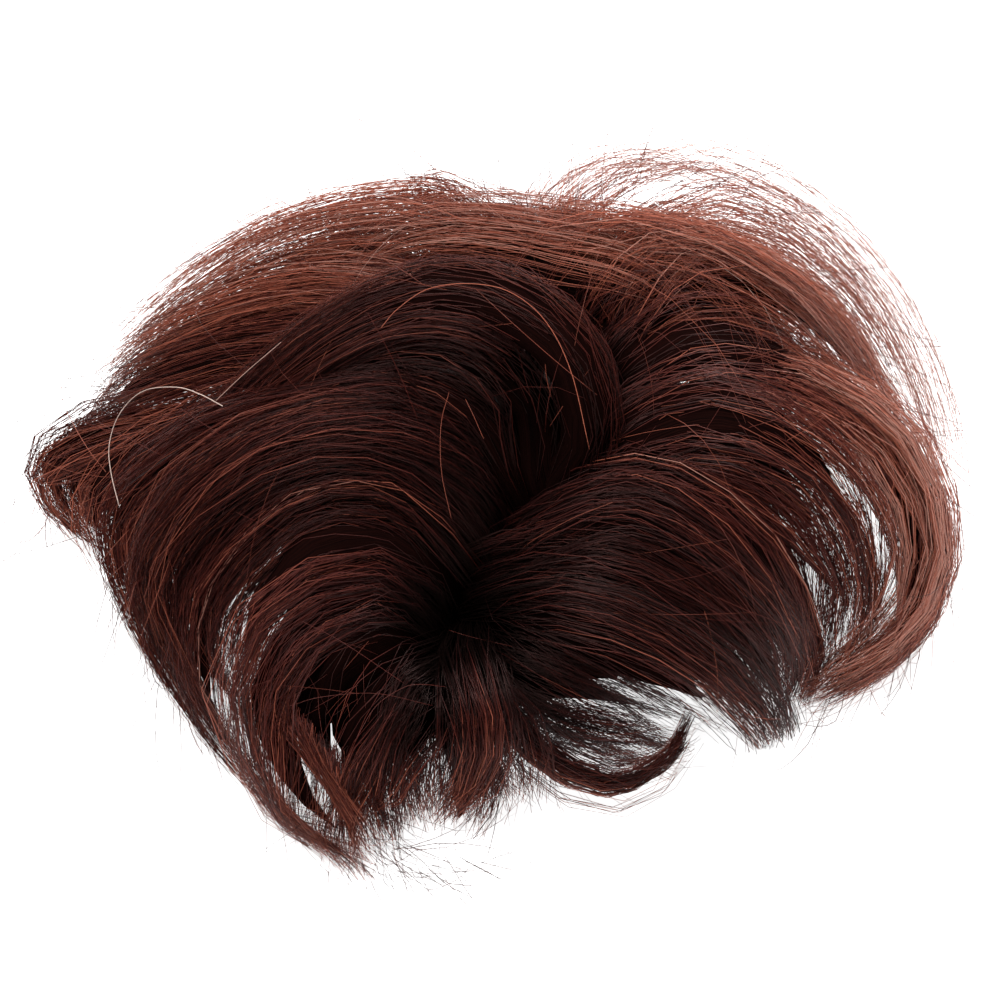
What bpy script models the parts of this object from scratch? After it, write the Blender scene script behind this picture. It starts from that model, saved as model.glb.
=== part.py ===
"""Top knot hairpiece: a messy bun of curled hair, sewn in bunches round an elastic band.

The band is a flat loop of elastic that the wearer's own knot goes through. Each bunch of hair has a
head, which is its share of the sewn weft that wraps the band, and curled locks fused to that head.
Heights start at the table that the hairpiece lies on, and the front of the bun is at -Y.
"""

import math
from collections import namedtuple

import bmesh
import bpy
from mathutils import Vector

MM = 0.001

# Driving dimensions, in millimetres
BAND_INNER_RADIUS = 20.0
BAND_THICKNESS = 4.5
BAND_HEIGHT = 9.0
BAND_EDGE_ROUNDING = 1.0
WEFT_OUTER_RADIUS = 33.0
WEFT_INNER_RADIUS = 19.2
WEFT_TOP = 15.0
WEFT_BOTTOM = 1.2
GAP = 0.35

# The middle of the band on the table, as (right, back)
BAND_CENTRE = (5.0, 0.0)

# A lock starts inside the weft, at this radius and height
ROOT_RADIUS = 28.0
ROOT_HEIGHT = 9.0

# A lock's cross-section is a flattened tube with ribs where its hairs gather
LOCK_SIDES = 8
RIB_DEPTH = 0.16
SECTION_SPACING = 9.5
# How strongly a lock's flat side turns to face away from the heart, at each station
OUTWARD_PULL = 0.35
# A section reaches no further than this share of the way to the centre of a bend
BEND_ROOM = 0.8
# Share of a lock's full section from root to tip, as (way along, share)
SWELL = ((0.0, 0.55), (0.25, 0.95), (0.55, 1.0), (0.8, 0.82), (1.0, 0.3))

# Routes are written as they look from the front at this angle above the table: across, up, height
VIEW_ELEVATION = math.radians(50)
# The point that every lock wraps round, as (across, back, height)
HEART = Vector((0.0, -12.0, 6.0))

Bunch = namedtuple("Bunch", "name start_angle end_angle")
Lock = namedtuple("Lock", "bunch name root_angle width thickness route")

# Angles run round the band from the right (0) through the back (90), in degrees
BUNCHES = (
    Bunch("crown_curls", 297, 322),
    Bunch("left_arch_curls", 259, 277),
    Bunch("right_front_curls", 277, 297),
    Bunch("front_curls", 234, 259),
    Bunch("right_curls", 322, 380),
    Bunch("right_back_curls", 20, 74),
    Bunch("left_side_curls", 150, 234),
    Bunch("back_curls", 74, 150),
)

LOCKS = (
    Lock("crown_curls", "loop", 312, 20, 13,
         ((10, -2, 28), (16, 11, 44), (13, 25, 56), (3, 34, 61), (-11, 37, 61), (-27, 31, 55), (-42, 20, 45),
          (-54, 7, 32), (-62, -5, 18))),
    Lock("crown_curls", "loop_lining", 304, 18, 10,
         ((9, 2, 34), (6, 17, 46), (-6, 27, 51), (-22, 27, 50), (-37, 18, 43), (-50, 7, 31), (-60, -4, 18))),
    Lock("left_arch_curls", "outer_arch", 268, 22, 13,
         ((4, -6, 21), (-4, 7, 38), (-18, 14, 46), (-34, 13, 45), (-50, 3, 37), (-62, -9, 26), (-62, -22, 15),
          (-53, -36, 5))),
    Lock("left_arch_curls", "middle_arch", 265, 20, 12,
         ((0, -16, 19), (-7, -6, 31), (-18, 3, 38), (-32, 3, 37), (-44, -6, 30), (-52, -19, 21), (-52, -33, 14),
          (-44, -47, 9))),
    Lock("left_arch_curls", "inner_arch", 262, 18, 11,
         ((-9, -20, 17), (-16, -11, 26), (-27, -8, 29), (-38, -14, 25), (-44, -24, 19), (-42, -36, 12))),
    Lock("right_front_curls", "upper_sweep", 282, 22, 12,
         ((4, -10, 23), (12, -4, 37), (25, -1, 43), (38, -9, 37), (48, -22, 24), (51, -34, 11))),
    Lock("right_front_curls", "lower_sweep", 290, 18, 10,
         ((-3, -18, 20), (9, -16, 29), (23, -20, 30), (36, -29, 22), (44, -37, 10), (48, -41, 2))),
    Lock("right_front_curls", "under_sweep", 284, 20, 9,
         ((-4, -26, 15), (8, -31, 18), (20, -35, 14), (32, -39, 8))),
    Lock("front_curls", "left_curl", 245, 17, 10,
         ((-13, -25, 17), (-23, -20, 26), (-35, -25, 25), (-40, -37, 18), (-36, -50, 10), (-29, -58, 6),
          (-22, -63, 1.5))),
    Lock("front_curls", "hollow_lining", 240, 20, 8,
         ((-14, -28, 14), (-22, -30, 18), (-29, -36, 16), (-31, -46, 8))),
    Lock("front_curls", "front_curl", 248, 17, 9,
         ((-11, -28, 18), (-18, -33, 25), (-24, -42, 20), (-26, -52, 9), (-23, -61, 1.5))),
    Lock("front_curls", "middle_fall", 252, 18, 8,
         ((-9, -30, 18), (-9, -40, 19), (-12, -51, 8), (-14, -59, 1.5))),
    Lock("front_curls", "right_fall", 255, 16, 7,
         ((-4, -34, 17), (0, -41, 15), (3, -49, 8), (3, -56, 1.5))),
    Lock("front_curls", "hook", 256, 9, 7,
         ((-5, -30, 16), (2, -39, 15), (11, -47, 8), (21, -50, 6), (30, -45, 8), (34, -37, 12))),
    Lock("right_curls", "upper_curl", 336, 24, 13,
         ((22, 9, 40), (36, 15, 46), (52, 10, 40), (63, -2, 29), (66, -18, 16), (60, -31, 4))),
    Lock("right_curls", "inner_curl", 330, 20, 12,
         ((16, 0, 26), (28, 2, 36), (42, -2, 33), (53, -14, 21), (55, -30, 10))),
    Lock("right_curls", "right_lining", 345, 22, 9,
         ((26, 4, 24), (39, 5, 27), (51, -5, 22), (57, -17, 14), (56, -28, 9), (51, -35, 7))),
    Lock("right_curls", "rim_curl", 10, 20, 11,
         ((40, 22, 32), (55, 20, 32), (69, 10, 25), (76, -6, 17), (75, -21, 9), (66, -31, 4), (56, -36, 1.5))),
    Lock("right_back_curls", "right_fall", 28, 24, 13,
         ((22, 28, 38), (30, 40, 45), (44, 41, 41), (58, 32, 31), (68, 18, 19), (74, 4, 10))),
    Lock("right_back_curls", "halo", 52, 15, 8,
         ((18, 40, 42), (26, 50, 44), (40, 55, 41), (56, 48, 33), (69, 34, 23), (77, 17, 11), (80, 5, 2))),
    Lock("right_back_curls", "halo_crest", 66, 11, 6,
         ((10, 45, 44), (15, 55, 49), (26, 59, 48), (38, 56, 43), (50, 46, 33))),
    Lock("right_back_curls", "right_lining", 40, 22, 12,
         ((28, 28, 28), (40, 33, 27), (52, 28, 18), (60, 18, 9))),
    Lock("right_back_curls", "back_right_fall", 60, 20, 11,
         ((20, 38, 32), (27, 46, 31), (33, 44, 20), (37, 38, 3))),
    Lock("left_side_curls", "left_shoulder", 158, 24, 13,
         ((-12, 32, 40), (-26, 37, 42), (-40, 36, 36), (-54, 31, 27), (-65, 25, 16), (-71, 19, 5))),
    Lock("left_side_curls", "far_left_curl", 180, 23, 12,
         ((-27, 18, 34), (-43, 18, 33), (-59, 18, 25), (-73, 15, 15), (-79, 8, 8), (-77, 0, 4), (-70, -6, 2))),
    Lock("left_side_curls", "far_left_lining", 190, 28, 11,
         ((-30, 10, 27), (-46, 10, 27), (-61, 8, 20), (-70, 3, 12), (-72, -4, 8))),
    Lock("left_side_curls", "left_lining", 205, 24, 14,
         ((-30, -2, 22), (-44, -3, 22), (-55, -10, 14), (-58, -20, 9))),
    Lock("back_curls", "top_band", 80, 20, 12,
         ((20, 42, 44), (8, 46, 50), (-6, 48, 51), (-18, 46, 47), (-28, 40, 38))),
    Lock("back_curls", "left_drift", 105, 18, 9,
         ((-8, 48, 43), (-24, 49, 41), (-40, 45, 35), (-54, 37, 27), (-64, 29, 17), (-70, 22, 4))),
    Lock("back_curls", "back_fall", 96, 22, 12,
         ((2, 41, 36), (0, 47, 33), (-2, 43, 19), (-3, 38, 2))),
    Lock("back_curls", "back_left_fall", 128, 20, 10,
         ((-13, 34, 28), (-19, 42, 34), (-28, 44, 28), (-35, 40, 16), (-39, 34, 3))),
)

MATERIALS = {
    "hair": ((0.045, 0.014, 0.011, 1.0), 0.42, 0.0),
    "elastic": ((0.012, 0.010, 0.010, 1.0), 0.85, 0.0),
}


def clear_scene():
    for thing in list(bpy.data.objects):
        bpy.data.objects.remove(thing)


def collection(name):
    made = bpy.data.collections.new(name)
    bpy.context.scene.collection.children.link(made)
    return made


def material(name):
    colour, roughness, metallic = MATERIALS[name]
    made = bpy.data.materials.new(name)
    made.use_nodes = True
    shader = made.node_tree.nodes["Principled BSDF"]
    shader.inputs["Base Color"].default_value = colour
    shader.inputs["Roughness"].default_value = roughness
    shader.inputs["Metallic"].default_value = metallic
    return made


def add_object(name, bm, home):
    """Turns a bmesh in millimetres into an object in metres."""
    bmesh.ops.recalc_face_normals(bm, faces=bm.faces)
    bmesh.ops.scale(bm, vec=(MM, MM, MM), verts=bm.verts)
    mesh = bpy.data.meshes.new(name)
    bm.to_mesh(mesh)
    bm.free()
    made = bpy.data.objects.new(name, mesh)
    home.objects.link(made)
    return made


def on_band(angle, radius, height):
    """A point round the band, from an angle in degrees."""
    turn = math.radians(angle)
    return Vector((BAND_CENTRE[0] + radius * math.cos(turn), BAND_CENTRE[1] + radius * math.sin(turn), height))


def in_space(across, up, height):
    """The point that a viewer at VIEW_ELEVATION sees at (across, up) and that lies at this height."""
    back = (up - height * math.cos(VIEW_ELEVATION)) / math.sin(VIEW_ELEVATION)
    return Vector((across, back, height))


def smooth_line(points, spacing):
    """Points at an even spacing along a Catmull-Rom curve through the given ones."""
    ends = [2 * points[0] - points[1]] + points + [2 * points[-1] - points[-2]]
    fine = []
    for a, b, c, d in zip(ends, ends[1:], ends[2:], ends[3:]):
        for step in range(12):
            t = step / 12
            fine.append(0.5 * (2 * b + (c - a) * t + (2 * a - 5 * b + 4 * c - d) * t * t
                               + (3 * b - a - 3 * c + d) * t ** 3))
    fine.append(points[-1])
    reach = [0.0]
    for a, b in zip(fine, fine[1:]):
        reach.append(reach[-1] + (b - a).length)
    count = max(6, round(reach[-1] / spacing))
    line = []
    at = 0
    for step in range(count + 1):
        goal = reach[-1] * step / count
        while at < len(fine) - 2 and reach[at + 1] < goal:
            at += 1
        share = (goal - reach[at]) / (reach[at + 1] - reach[at])
        line.append(fine[at].lerp(fine[at + 1], share))
    return line


def swell(way):
    """The share of a lock's full section at this way along it."""
    for (way_a, share_a), (way_b, share_b) in zip(SWELL, SWELL[1:]):
        if way <= way_b:
            t = (way - way_a) / (way_b - way_a)
            return share_a + (share_b - share_a) * t * t * (3 - 2 * t)
    return SWELL[-1][1]


def square_to(direction, along):
    """The part of a direction that is square to a lock's run, at unit length."""
    return (direction - direction.dot(along) * along).normalized()


def directions(line):
    """Each station's direction along the lock and out of the bun, carried from the crest with little twist."""
    last = len(line) - 1
    along = [(line[min(i + 1, last)] - line[max(i - 1, 0)]).normalized() for i in range(last + 1)]
    crest = max(range(last + 1), key=lambda i: line[i].z)
    outward = [None] * (last + 1)
    outward[crest] = square_to(line[crest] - HEART, along[crest])
    steps = [(i, i - 1) for i in range(crest + 1, last + 1)] + [(i, i + 1) for i in reversed(range(crest))]
    for here, before in steps:
        carried = square_to(outward[before], along[here])
        pull = (line[here] - HEART).normalized()
        pull -= pull.dot(along[here]) * along[here]
        if pull.dot(carried) > 0:
            carried = square_to(carried + pull * OUTWARD_PULL, along[here])
        outward[here] = carried
    return list(zip(along, outward))


def bend_share(before, centre, after, sideways, outward, lock):
    """The share of a lock's full section that has room on the inside of the bend here."""
    bend = (after - centre).normalized() - (centre - before).normalized()
    if bend.length < 0.02:
        return 1.0
    radius = (after - before).length / 2 / bend.length
    inward = bend.normalized()
    reach = math.hypot(lock.width / 2 * sideways.dot(inward), lock.thickness / 2 * outward.dot(inward))
    return min(1.0, BEND_ROOM * radius / reach)


def lock_object(lock, home, grow=0.0):
    """A curled lock: ribbed sections along its route, flat to the bun, and none below the table."""
    points = [on_band(lock.root_angle, ROOT_RADIUS, ROOT_HEIGHT)] + [in_space(*p) for p in lock.route]
    line = smooth_line(points, SECTION_SPACING)
    bm = bmesh.new()
    rings = []
    for i, (centre, (along, outward)) in enumerate(zip(line, directions(line))):
        sideways = along.cross(outward)
        share = swell(i / (len(line) - 1))
        if 0 < i < len(line) - 1:
            share *= bend_share(line[i - 1], centre, line[i + 1], sideways, outward, lock)
        elif i == 0:
            centre = centre - along * grow
        else:
            centre = centre + along * grow
        ring = []
        for k in range(LOCK_SIDES):
            turn = 2 * math.pi * k / LOCK_SIDES
            rib = share * (1 - RIB_DEPTH * (k % 2))
            across = (lock.width / 2 * rib + grow) * math.cos(turn)
            deep = (lock.thickness / 2 * rib + grow) * math.sin(turn)
            corner = centre + sideways * across + outward * deep
            corner.z = max(corner.z, -grow)
            ring.append(bm.verts.new(corner))
        rings.append(ring)
    for lower, upper in zip(rings, rings[1:]):
        for k in range(LOCK_SIDES):
            n = (k + 1) % LOCK_SIDES
            bm.faces.new((lower[k], lower[n], upper[n]))
            bm.faces.new((lower[k], upper[n], upper[k]))
    bm.faces.new(rings[0])
    bm.faces.new(rings[-1])
    return add_object(f"{lock.bunch}_{lock.name}", bm, home)


def head_object(bunch, home, grow=0.0):
    """A bunch's share of the weft, as a block turned round the band, which is cut out of it later."""
    outer = WEFT_OUTER_RADIUS + grow
    inner = WEFT_INNER_RADIUS - grow
    top = WEFT_TOP + grow
    base = WEFT_BOTTOM - grow
    section = ((BAND_INNER_RADIUS + 2, base), (outer - 2, base), (outer, base + 2), (outer, top - 3),
               (outer - 3, top), (inner + 2, top), (inner, top - 2), (inner, BAND_HEIGHT),
               (BAND_INNER_RADIUS + 2, BAND_HEIGHT))
    seam = math.degrees((GAP / 2 - grow) / ROOT_RADIUS)
    start = bunch.start_angle + seam
    sweep = bunch.end_angle - seam - start
    bm = bmesh.new()
    corners = [bm.verts.new(on_band(start, radius, height)) for radius, height in section]
    bm.faces.new(corners)
    bmesh.ops.spin(bm, geom=bm.verts[:] + bm.edges[:] + bm.faces[:], cent=(*BAND_CENTRE, 0), axis=(0, 0, 1),
                   angle=math.radians(sweep), steps=max(2, round(sweep / 9)))
    return add_object(f"{bunch.name}_head", bm, home)


def evaluated_mesh(thing):
    graph = bpy.context.evaluated_depsgraph_get()
    return bpy.data.meshes.new_from_object(thing.evaluated_get(graph))


def apply_boolean(thing, other, operation):
    """Uses the manifold solver, as the exact one loses locks where two of them share a fold."""
    modifier = thing.modifiers.new(operation, "BOOLEAN")
    modifier.operation = operation
    modifier.object = other
    modifier.solver = "MANIFOLD"
    thing.data = evaluated_mesh(thing)
    thing.modifiers.clear()


def hide_cutter(thing):
    thing.name = f"around_{thing.name}"
    thing.hide_render = True
    thing.display_type = "WIRE"


def keep_largest_body(thing):
    """Drops the crumbs that a cut has left beside the main body."""
    bm = bmesh.new()
    bm.from_mesh(thing.data)
    left = set(bm.verts)
    bodies = []
    while left:
        seed = left.pop()
        body = {seed}
        queue = [seed]
        while queue:
            for edge in queue.pop().link_edges:
                for vert in edge.verts:
                    if vert in left:
                        left.discard(vert)
                        body.add(vert)
                        queue.append(vert)
        bodies.append(body)
    largest = max(bodies, key=len)
    crumbs = [vert for body in bodies if body is not largest for vert in body]
    bmesh.ops.delete(bm, geom=crumbs, context="VERTS")
    bm.to_mesh(thing.data)
    bm.free()


def fused_bunch(bunch, home, helpers, grow=0.0):
    """A bunch's head with its locks fused to it, larger all round by grow."""
    made = head_object(bunch, home, grow)
    for lock in LOCKS:
        if lock.bunch == bunch.name:
            piece = lock_object(lock, helpers, grow)
            apply_boolean(made, piece, "UNION")
            bpy.data.objects.remove(piece)
    return made


def bunch_object(bunch, earlier, parts, helpers):
    """A bunch, cut clear of the bunches made before it."""
    made = fused_bunch(bunch, parts, helpers)
    made.name = bunch.name
    for cutter in earlier:
        apply_boolean(made, cutter, "DIFFERENCE")
    keep_largest_body(made)
    made.data.materials.clear()
    made.data.materials.append(bpy.data.materials["hair"])
    made.data.shade_smooth()
    made.data.set_sharp_from_angle(angle=math.radians(40))
    cutter = fused_bunch(bunch, helpers, helpers, GAP)
    hide_cutter(cutter)
    earlier.append(cutter)


def elastic_band(home, grow=0.0):
    """The elastic band: a rounded rectangular section turned into a ring, flat underneath."""
    inner = BAND_INNER_RADIUS - grow
    outer = BAND_INNER_RADIUS + BAND_THICKNESS + grow
    top = BAND_HEIGHT + grow
    base = -grow
    soft = BAND_EDGE_ROUNDING
    section = ((inner + soft, base), (outer - soft, base), (outer, base + soft), (outer, top - soft),
               (outer - soft, top), (inner + soft, top), (inner, top - soft), (inner, base + soft))
    bm = bmesh.new()
    corners = [bm.verts.new(on_band(0, radius, height)) for radius, height in section]
    sides = [bm.edges.new((a, b)) for a, b in zip(corners, corners[1:] + corners[:1])]
    bmesh.ops.spin(bm, geom=corners + sides, cent=(*BAND_CENTRE, 0), axis=(0, 0, 1), angle=2 * math.pi,
                   steps=48, use_merge=True)
    made = add_object("elastic_band", bm, home)
    made.data.materials.append(bpy.data.materials["elastic"])
    made.data.shade_smooth()
    made.data.set_sharp_from_angle(angle=math.radians(40))
    return made


def centre_on_table(things):
    """Moves everything so that the middle of the whole footprint is at the origin."""
    corners = [vert.co for thing in things for vert in thing.data.vertices]
    low = Vector([min(corner[i] for corner in corners) for i in range(3)])
    high = Vector([max(corner[i] for corner in corners) for i in range(3)])
    shift = Vector((-(low.x + high.x) / 2, -(low.y + high.y) / 2, -low.z))
    for thing in things:
        for vert in thing.data.vertices:
            vert.co += shift


def main():
    clear_scene()
    parts = collection("top_knot_hairpiece")
    helpers = collection("cutters")
    for name in MATERIALS:
        material(name)
    elastic_band(parts)
    around_band = elastic_band(helpers, GAP)
    hide_cutter(around_band)
    earlier = [around_band]
    for bunch in BUNCHES:
        bunch_object(bunch, earlier, parts, helpers)
    centre_on_table(parts.objects)


main()
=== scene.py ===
"""The looks of the top knot hairpiece: fine curled hair on its band and weft, and a white studio.

Laid out as an add-on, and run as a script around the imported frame.
"""

import math
from collections import namedtuple

import bmesh
import bpy
import numpy as np
from bpy.props import FloatProperty, FloatVectorProperty, IntProperty, PointerProperty
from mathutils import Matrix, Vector


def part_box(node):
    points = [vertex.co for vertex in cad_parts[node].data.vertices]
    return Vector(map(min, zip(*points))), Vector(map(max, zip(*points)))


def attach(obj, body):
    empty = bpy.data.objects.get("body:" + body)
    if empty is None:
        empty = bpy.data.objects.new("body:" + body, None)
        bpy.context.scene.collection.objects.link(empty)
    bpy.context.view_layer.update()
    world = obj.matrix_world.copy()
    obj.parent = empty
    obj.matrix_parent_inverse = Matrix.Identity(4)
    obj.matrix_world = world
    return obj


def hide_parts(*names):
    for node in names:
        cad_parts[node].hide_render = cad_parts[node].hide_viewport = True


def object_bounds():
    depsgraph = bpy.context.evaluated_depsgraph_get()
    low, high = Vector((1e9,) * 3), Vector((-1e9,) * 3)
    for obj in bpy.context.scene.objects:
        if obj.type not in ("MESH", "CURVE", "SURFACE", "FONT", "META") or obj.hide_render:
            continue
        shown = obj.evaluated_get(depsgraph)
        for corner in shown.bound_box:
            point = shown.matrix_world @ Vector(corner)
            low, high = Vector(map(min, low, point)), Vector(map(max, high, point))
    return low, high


bl_info = {
    "name": "Top Knot Hairpiece",
    "version": (1, 0, 0),
    "blender": (4, 5, 0),
    "location": "View3D > Sidebar > Hairpiece",
    "description": "Builds the curled hair, weft and band of a messy bun hairpiece",
    "category": "Object",
}

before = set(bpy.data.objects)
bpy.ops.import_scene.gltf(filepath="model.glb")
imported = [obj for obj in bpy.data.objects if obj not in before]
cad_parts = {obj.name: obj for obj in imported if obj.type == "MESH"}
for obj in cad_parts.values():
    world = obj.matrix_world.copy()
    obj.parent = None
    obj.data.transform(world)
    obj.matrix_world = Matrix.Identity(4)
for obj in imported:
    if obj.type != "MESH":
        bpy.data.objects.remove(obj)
CAD_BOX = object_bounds()
BODY = "root"
MM = 0.001

# The band in the frame, which everything else is placed from
BAND_LOW, BAND_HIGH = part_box("elastic_band")
BAND_CENTRE = Vector(((BAND_LOW.x + BAND_HIGH.x) / 2, (BAND_LOW.y + BAND_HIGH.y) / 2, BAND_LOW.z))
BAND_OUTER = (BAND_HIGH.x - BAND_LOW.x) / 2
BAND_TOP = BAND_HIGH.z
BAND_THICKNESS = 4.5 * MM
BAND_INNER = BAND_OUTER - BAND_THICKNESS

# Locks are laid out from a point on the table 5 mm to the left of the band's middle
LAYOUT_CENTRE = BAND_CENTRE - Vector((5 * MM, 0, 0))
VIEW_ELEVATION = math.radians(50)
# The point that every lock wraps round
HEART = LAYOUT_CENTRE + Vector((0, -12, 6)) * MM
ROOT_RADIUS = 28 * MM
ROOT_HEIGHT = 9 * MM
WEFT_OUTER = 33 * MM
WEFT_INNER = 19.2 * MM
WEFT_TOP = 15 * MM
WEFT_BOTTOM = 1.2 * MM

# Share of a lock's full section from root to tip, as (way along, share)
SWELL = ((0.0, 0.55), (0.25, 0.95), (0.55, 1.0), (0.8, 0.85), (1.0, 0.4))
OUTWARD_PULL = 0.06
# Stations that a guide is kept at, and the length that a turn of 1 radian counts as when they are placed
GUIDE_STATIONS = 120
TURN_WORTH = 30 * MM
# No hair comes closer to the table than this
TABLE_CLEARANCE = 0.15 * MM
# How far outside the CAD's box a single hair may reach
FLYAWAY_ROOM = 10.5 * MM
# How much of a lock's way its core goes along, and the share of that where it starts to taper
CORE_END = 0.92
CORE_TAPER = 0.72
# Full width that a core between two guides has its streaks drawn for, in mm
BETWEEN_WIDTH = 20
HAIR_SIDES = 3
CORE_SIDES = 14
CORE_RINGS = 16
STRAY_STATIONS = 6
WRAP_RADIUS = 0.5 * MM
# How far hairs spread round each guide when a flow has several, as a share of the locks' half width
SHARED_WIDTH = 0.55
# Share of the hairs that cross their bunch's clearings, and the longest cut that leaves a hair worth drawing
CROSSING = 0.04
LONGEST_CUT = 0.85
# The lightest that a hair gets, short of the few faded ones
LIGHTEST = 0.9
# Steps across the elastic's face, every second one a groove, and steps round a turned piece
RIB_STEPS = 16
TURN_STEPS = 96
TABLE_RADIUS = 4.0
# Name, place from the hairpiece and size in metres, and share of the key power
LAMPS = (("key", (-0.25, -0.1, 0.9), 0.5, 1.0), ("rim", (0.3, 0.6, 0.6), 0.4, 0.9))

Lock = namedtuple("Lock", "bunch name root_angle width thickness core route")
Between = namedtuple("Between", "bunch first second share core end")
Flow = namedtuple(
    "Flow", "bunch guides hairs stations wisps cover loose tone tip_tone contrast thin tip start",
    defaults=(None,))
Stray = namedtuple("Stray", "bunch guides hairs low high shortest longest spread lift tone thin")
Strand = namedtuple("Strand", "bunch tone thin route")
Hollow = namedtuple("Hollow", "across up height reach depth")
Clearing = namedtuple("Clearing", "bunch across up radius")
Slit = namedtuple("Slit", "across up angle long wide")


def gathered(kind, table):
    """The rows of a table that lists them by bunch."""
    return tuple(kind(bunch, *row) for bunch, rows in table.items() for row in rows)


# Each lock's route runs through (across, up, height) in mm, as seen from the front at VIEW_ELEVATION.
# core is the share of the lock's section that its dark core fills, and 0 leaves it without one. The core's
# near-black is painted shade for the packed hair inside.
LOCKS = gathered(Lock, {
    "crown_curls": (
        ("loop", 312, 20, 13, 0.6, ((10, -2, 28), (16, 11, 44), (13, 25, 56), (3, 34, 61), (-11, 37, 61),
         (-27, 31, 55), (-42, 20, 45), (-54, 7, 32), (-62, -5, 18))),
        ("loop_lining", 304, 18, 10, 0.6, ((9, 2, 34), (6, 17, 46), (-6, 27, 51), (-22, 27, 50),
         (-37, 18, 43), (-50, 7, 31), (-60, -4, 18))),
    ),
    "left_arch_curls": (
        ("outer_arch", 268, 22, 13, 0.6, ((4, -6, 21), (-4, 7, 38), (-18, 14, 46), (-34, 13, 45),
         (-50, 3, 37), (-60, -9, 26), (-59, -22, 15), (-51, -36, 5))),
        ("middle_arch", 265, 20, 12, 0.6, ((0, -16, 19), (-7, -6, 31), (-18, 3, 38), (-32, 3, 37),
         (-44, -6, 30), (-52, -19, 21), (-52, -33, 14), (-44, -47, 9))),
        ("inner_arch", 262, 18, 11, 0.6, ((-9, -20, 17), (-16, -11, 26), (-27, -8, 29), (-38, -14, 25),
         (-44, -24, 19), (-42, -36, 12))),
    ),
    "right_front_curls": (
        ("upper_sweep", 282, 22, 12, 0.6, ((4, -10, 23), (12, -4, 37), (25, -1, 43), (38, -9, 37),
         (48, -22, 24), (51, -34, 11))),
        ("lower_sweep", 290, 18, 10, 0.6, ((-3, -18, 20), (9, -16, 29), (23, -20, 30), (36, -29, 22),
         (44, -37, 10), (48, -41, 2))),
        ("under_sweep", 284, 20, 9, 0.6, ((-4, -26, 15), (8, -31, 18), (20, -35, 14), (32, -39, 8))),
    ),
    "front_curls": (
        ("left_curl", 245, 17, 10, 0.6, ((-13, -25, 17), (-23, -20, 26), (-35, -25, 25), (-40, -37, 18),
         (-36, -50, 10), (-29, -58, 6), (-22, -63, 1.5))),
        # Painted shade: the lock below nearly fills its section with a near-black core, laid in the front
        # hollow
        ("hollow_lining", 240, 20, 8, 0.95, ((-14, -28, 14), (-22, -30, 18), (-29, -36, 16), (-31, -46, 8))),
        ("front_curl", 248, 17, 9, 0.5, ((-11, -28, 18), (-18, -33, 25), (-24, -42, 20), (-26, -52, 9),
         (-23, -61, 1.5))),
        ("middle_fall", 252, 18, 8, 0, ((-9, -30, 18), (-9, -40, 19), (-12, -51, 8), (-14, -59, 1.5))),
        ("short_fall", 255, 16, 7, 0, ((-4, -34, 17), (0, -41, 15), (3, -49, 8), (3, -56, 1.5))),
        ("hook", 256, 9, 7, 0.3, ((-5, -30, 16), (2, -39, 15), (11, -47, 8), (21, -50, 6), (30, -45, 8),
         (34, -37, 12))),
    ),
    "right_curls": (
        ("upper_curl", 336, 24, 13, 0, ((22, 9, 40), (36, 15, 46), (52, 10, 40), (63, -2, 29),
         (66, -18, 16), (60, -31, 4))),
        ("inner_curl", 330, 20, 12, 0, ((16, 0, 26), (28, 2, 36), (42, -2, 33), (53, -14, 21),
         (55, -30, 10))),
        ("right_lining", 345, 22, 9, 0, ((26, 4, 24), (39, 5, 27), (51, -5, 22), (57, -17, 14),
         (56, -28, 9), (51, -35, 7))),
        ("rim_curl", 10, 20, 11, 0, ((40, 22, 32), (55, 20, 32), (69, 10, 25), (76, -6, 17), (73, -20, 9),
         (64, -29.5, 5), (53, -35, 2))),
    ),
    "right_back_curls": (
        ("right_fall", 28, 24, 13, 0.6, ((22, 28, 38), (30, 40, 45), (44, 41, 41), (58, 32, 31),
         (68, 18, 19), (74, 4, 10))),
        ("halo", 52, 15, 8, 0, ((18, 40, 42), (26, 50, 44), (40, 55, 41), (56, 48, 33), (69, 34, 23),
         (77, 18, 12), (80, 5, 5), (79, -7, 1.5))),
        ("halo_crest", 66, 11, 6, 0, ((10, 45, 44), (15, 55, 49), (26, 59, 48), (38, 56, 43), (50, 46, 33))),
        ("right_lining_back", 40, 22, 12, 0.6, ((28, 28, 28), (40, 33, 27), (52, 28, 18), (60, 18, 9))),
        ("back_right_fall", 60, 20, 11, 0.6, ((20, 38, 32), (27, 46, 31), (33, 44, 20), (37, 38, 3))),
    ),
    "left_side_curls": (
        ("left_shoulder", 158, 24, 13, 0.6, ((-12, 32, 40), (-26, 37, 42), (-40, 36, 36), (-54, 31, 27),
         (-66, 25, 16), (-73, 19.5, 5))),
        ("far_left_curl", 180, 18, 12, 0.6, ((-27, 16, 34), (-43, 15, 33), (-59, 13, 25), (-73, 10, 15),
         (-80, 5, 8), (-77, -2, 4), (-70, -7, 2))),
        ("far_left_lining", 190, 28, 11, 0.6, ((-30, 10, 27), (-46, 10, 27), (-61, 8, 20), (-70, 3, 12),
         (-72, -4, 8))),
        ("left_lining", 205, 24, 14, 0.6, ((-30, -2, 22), (-44, -3, 22), (-55, -10, 14), (-58, -20, 9))),
    ),
    "back_curls": (
        ("top_band", 80, 20, 12, 0.6, ((20, 42, 44), (8, 46, 50), (-6, 48, 51), (-18, 46, 47),
         (-28, 40, 38))),
        ("left_drift", 105, 18, 9, 0, ((-8, 48, 43), (-24, 49, 41), (-40, 45, 35), (-54, 37, 27),
         (-64, 29, 17), (-70, 22, 4))),
        ("back_fall", 96, 22, 12, 0.6, ((2, 41, 36), (0, 47, 33), (-2, 43, 19), (-3, 38, 2))),
        ("back_left_fall", 128, 20, 10, 0.6, ((-13, 34, 28), (-19, 42, 34), (-28, 44, 28), (-35, 40, 16),
         (-39, 34, 3))),
    ),
})

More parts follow.
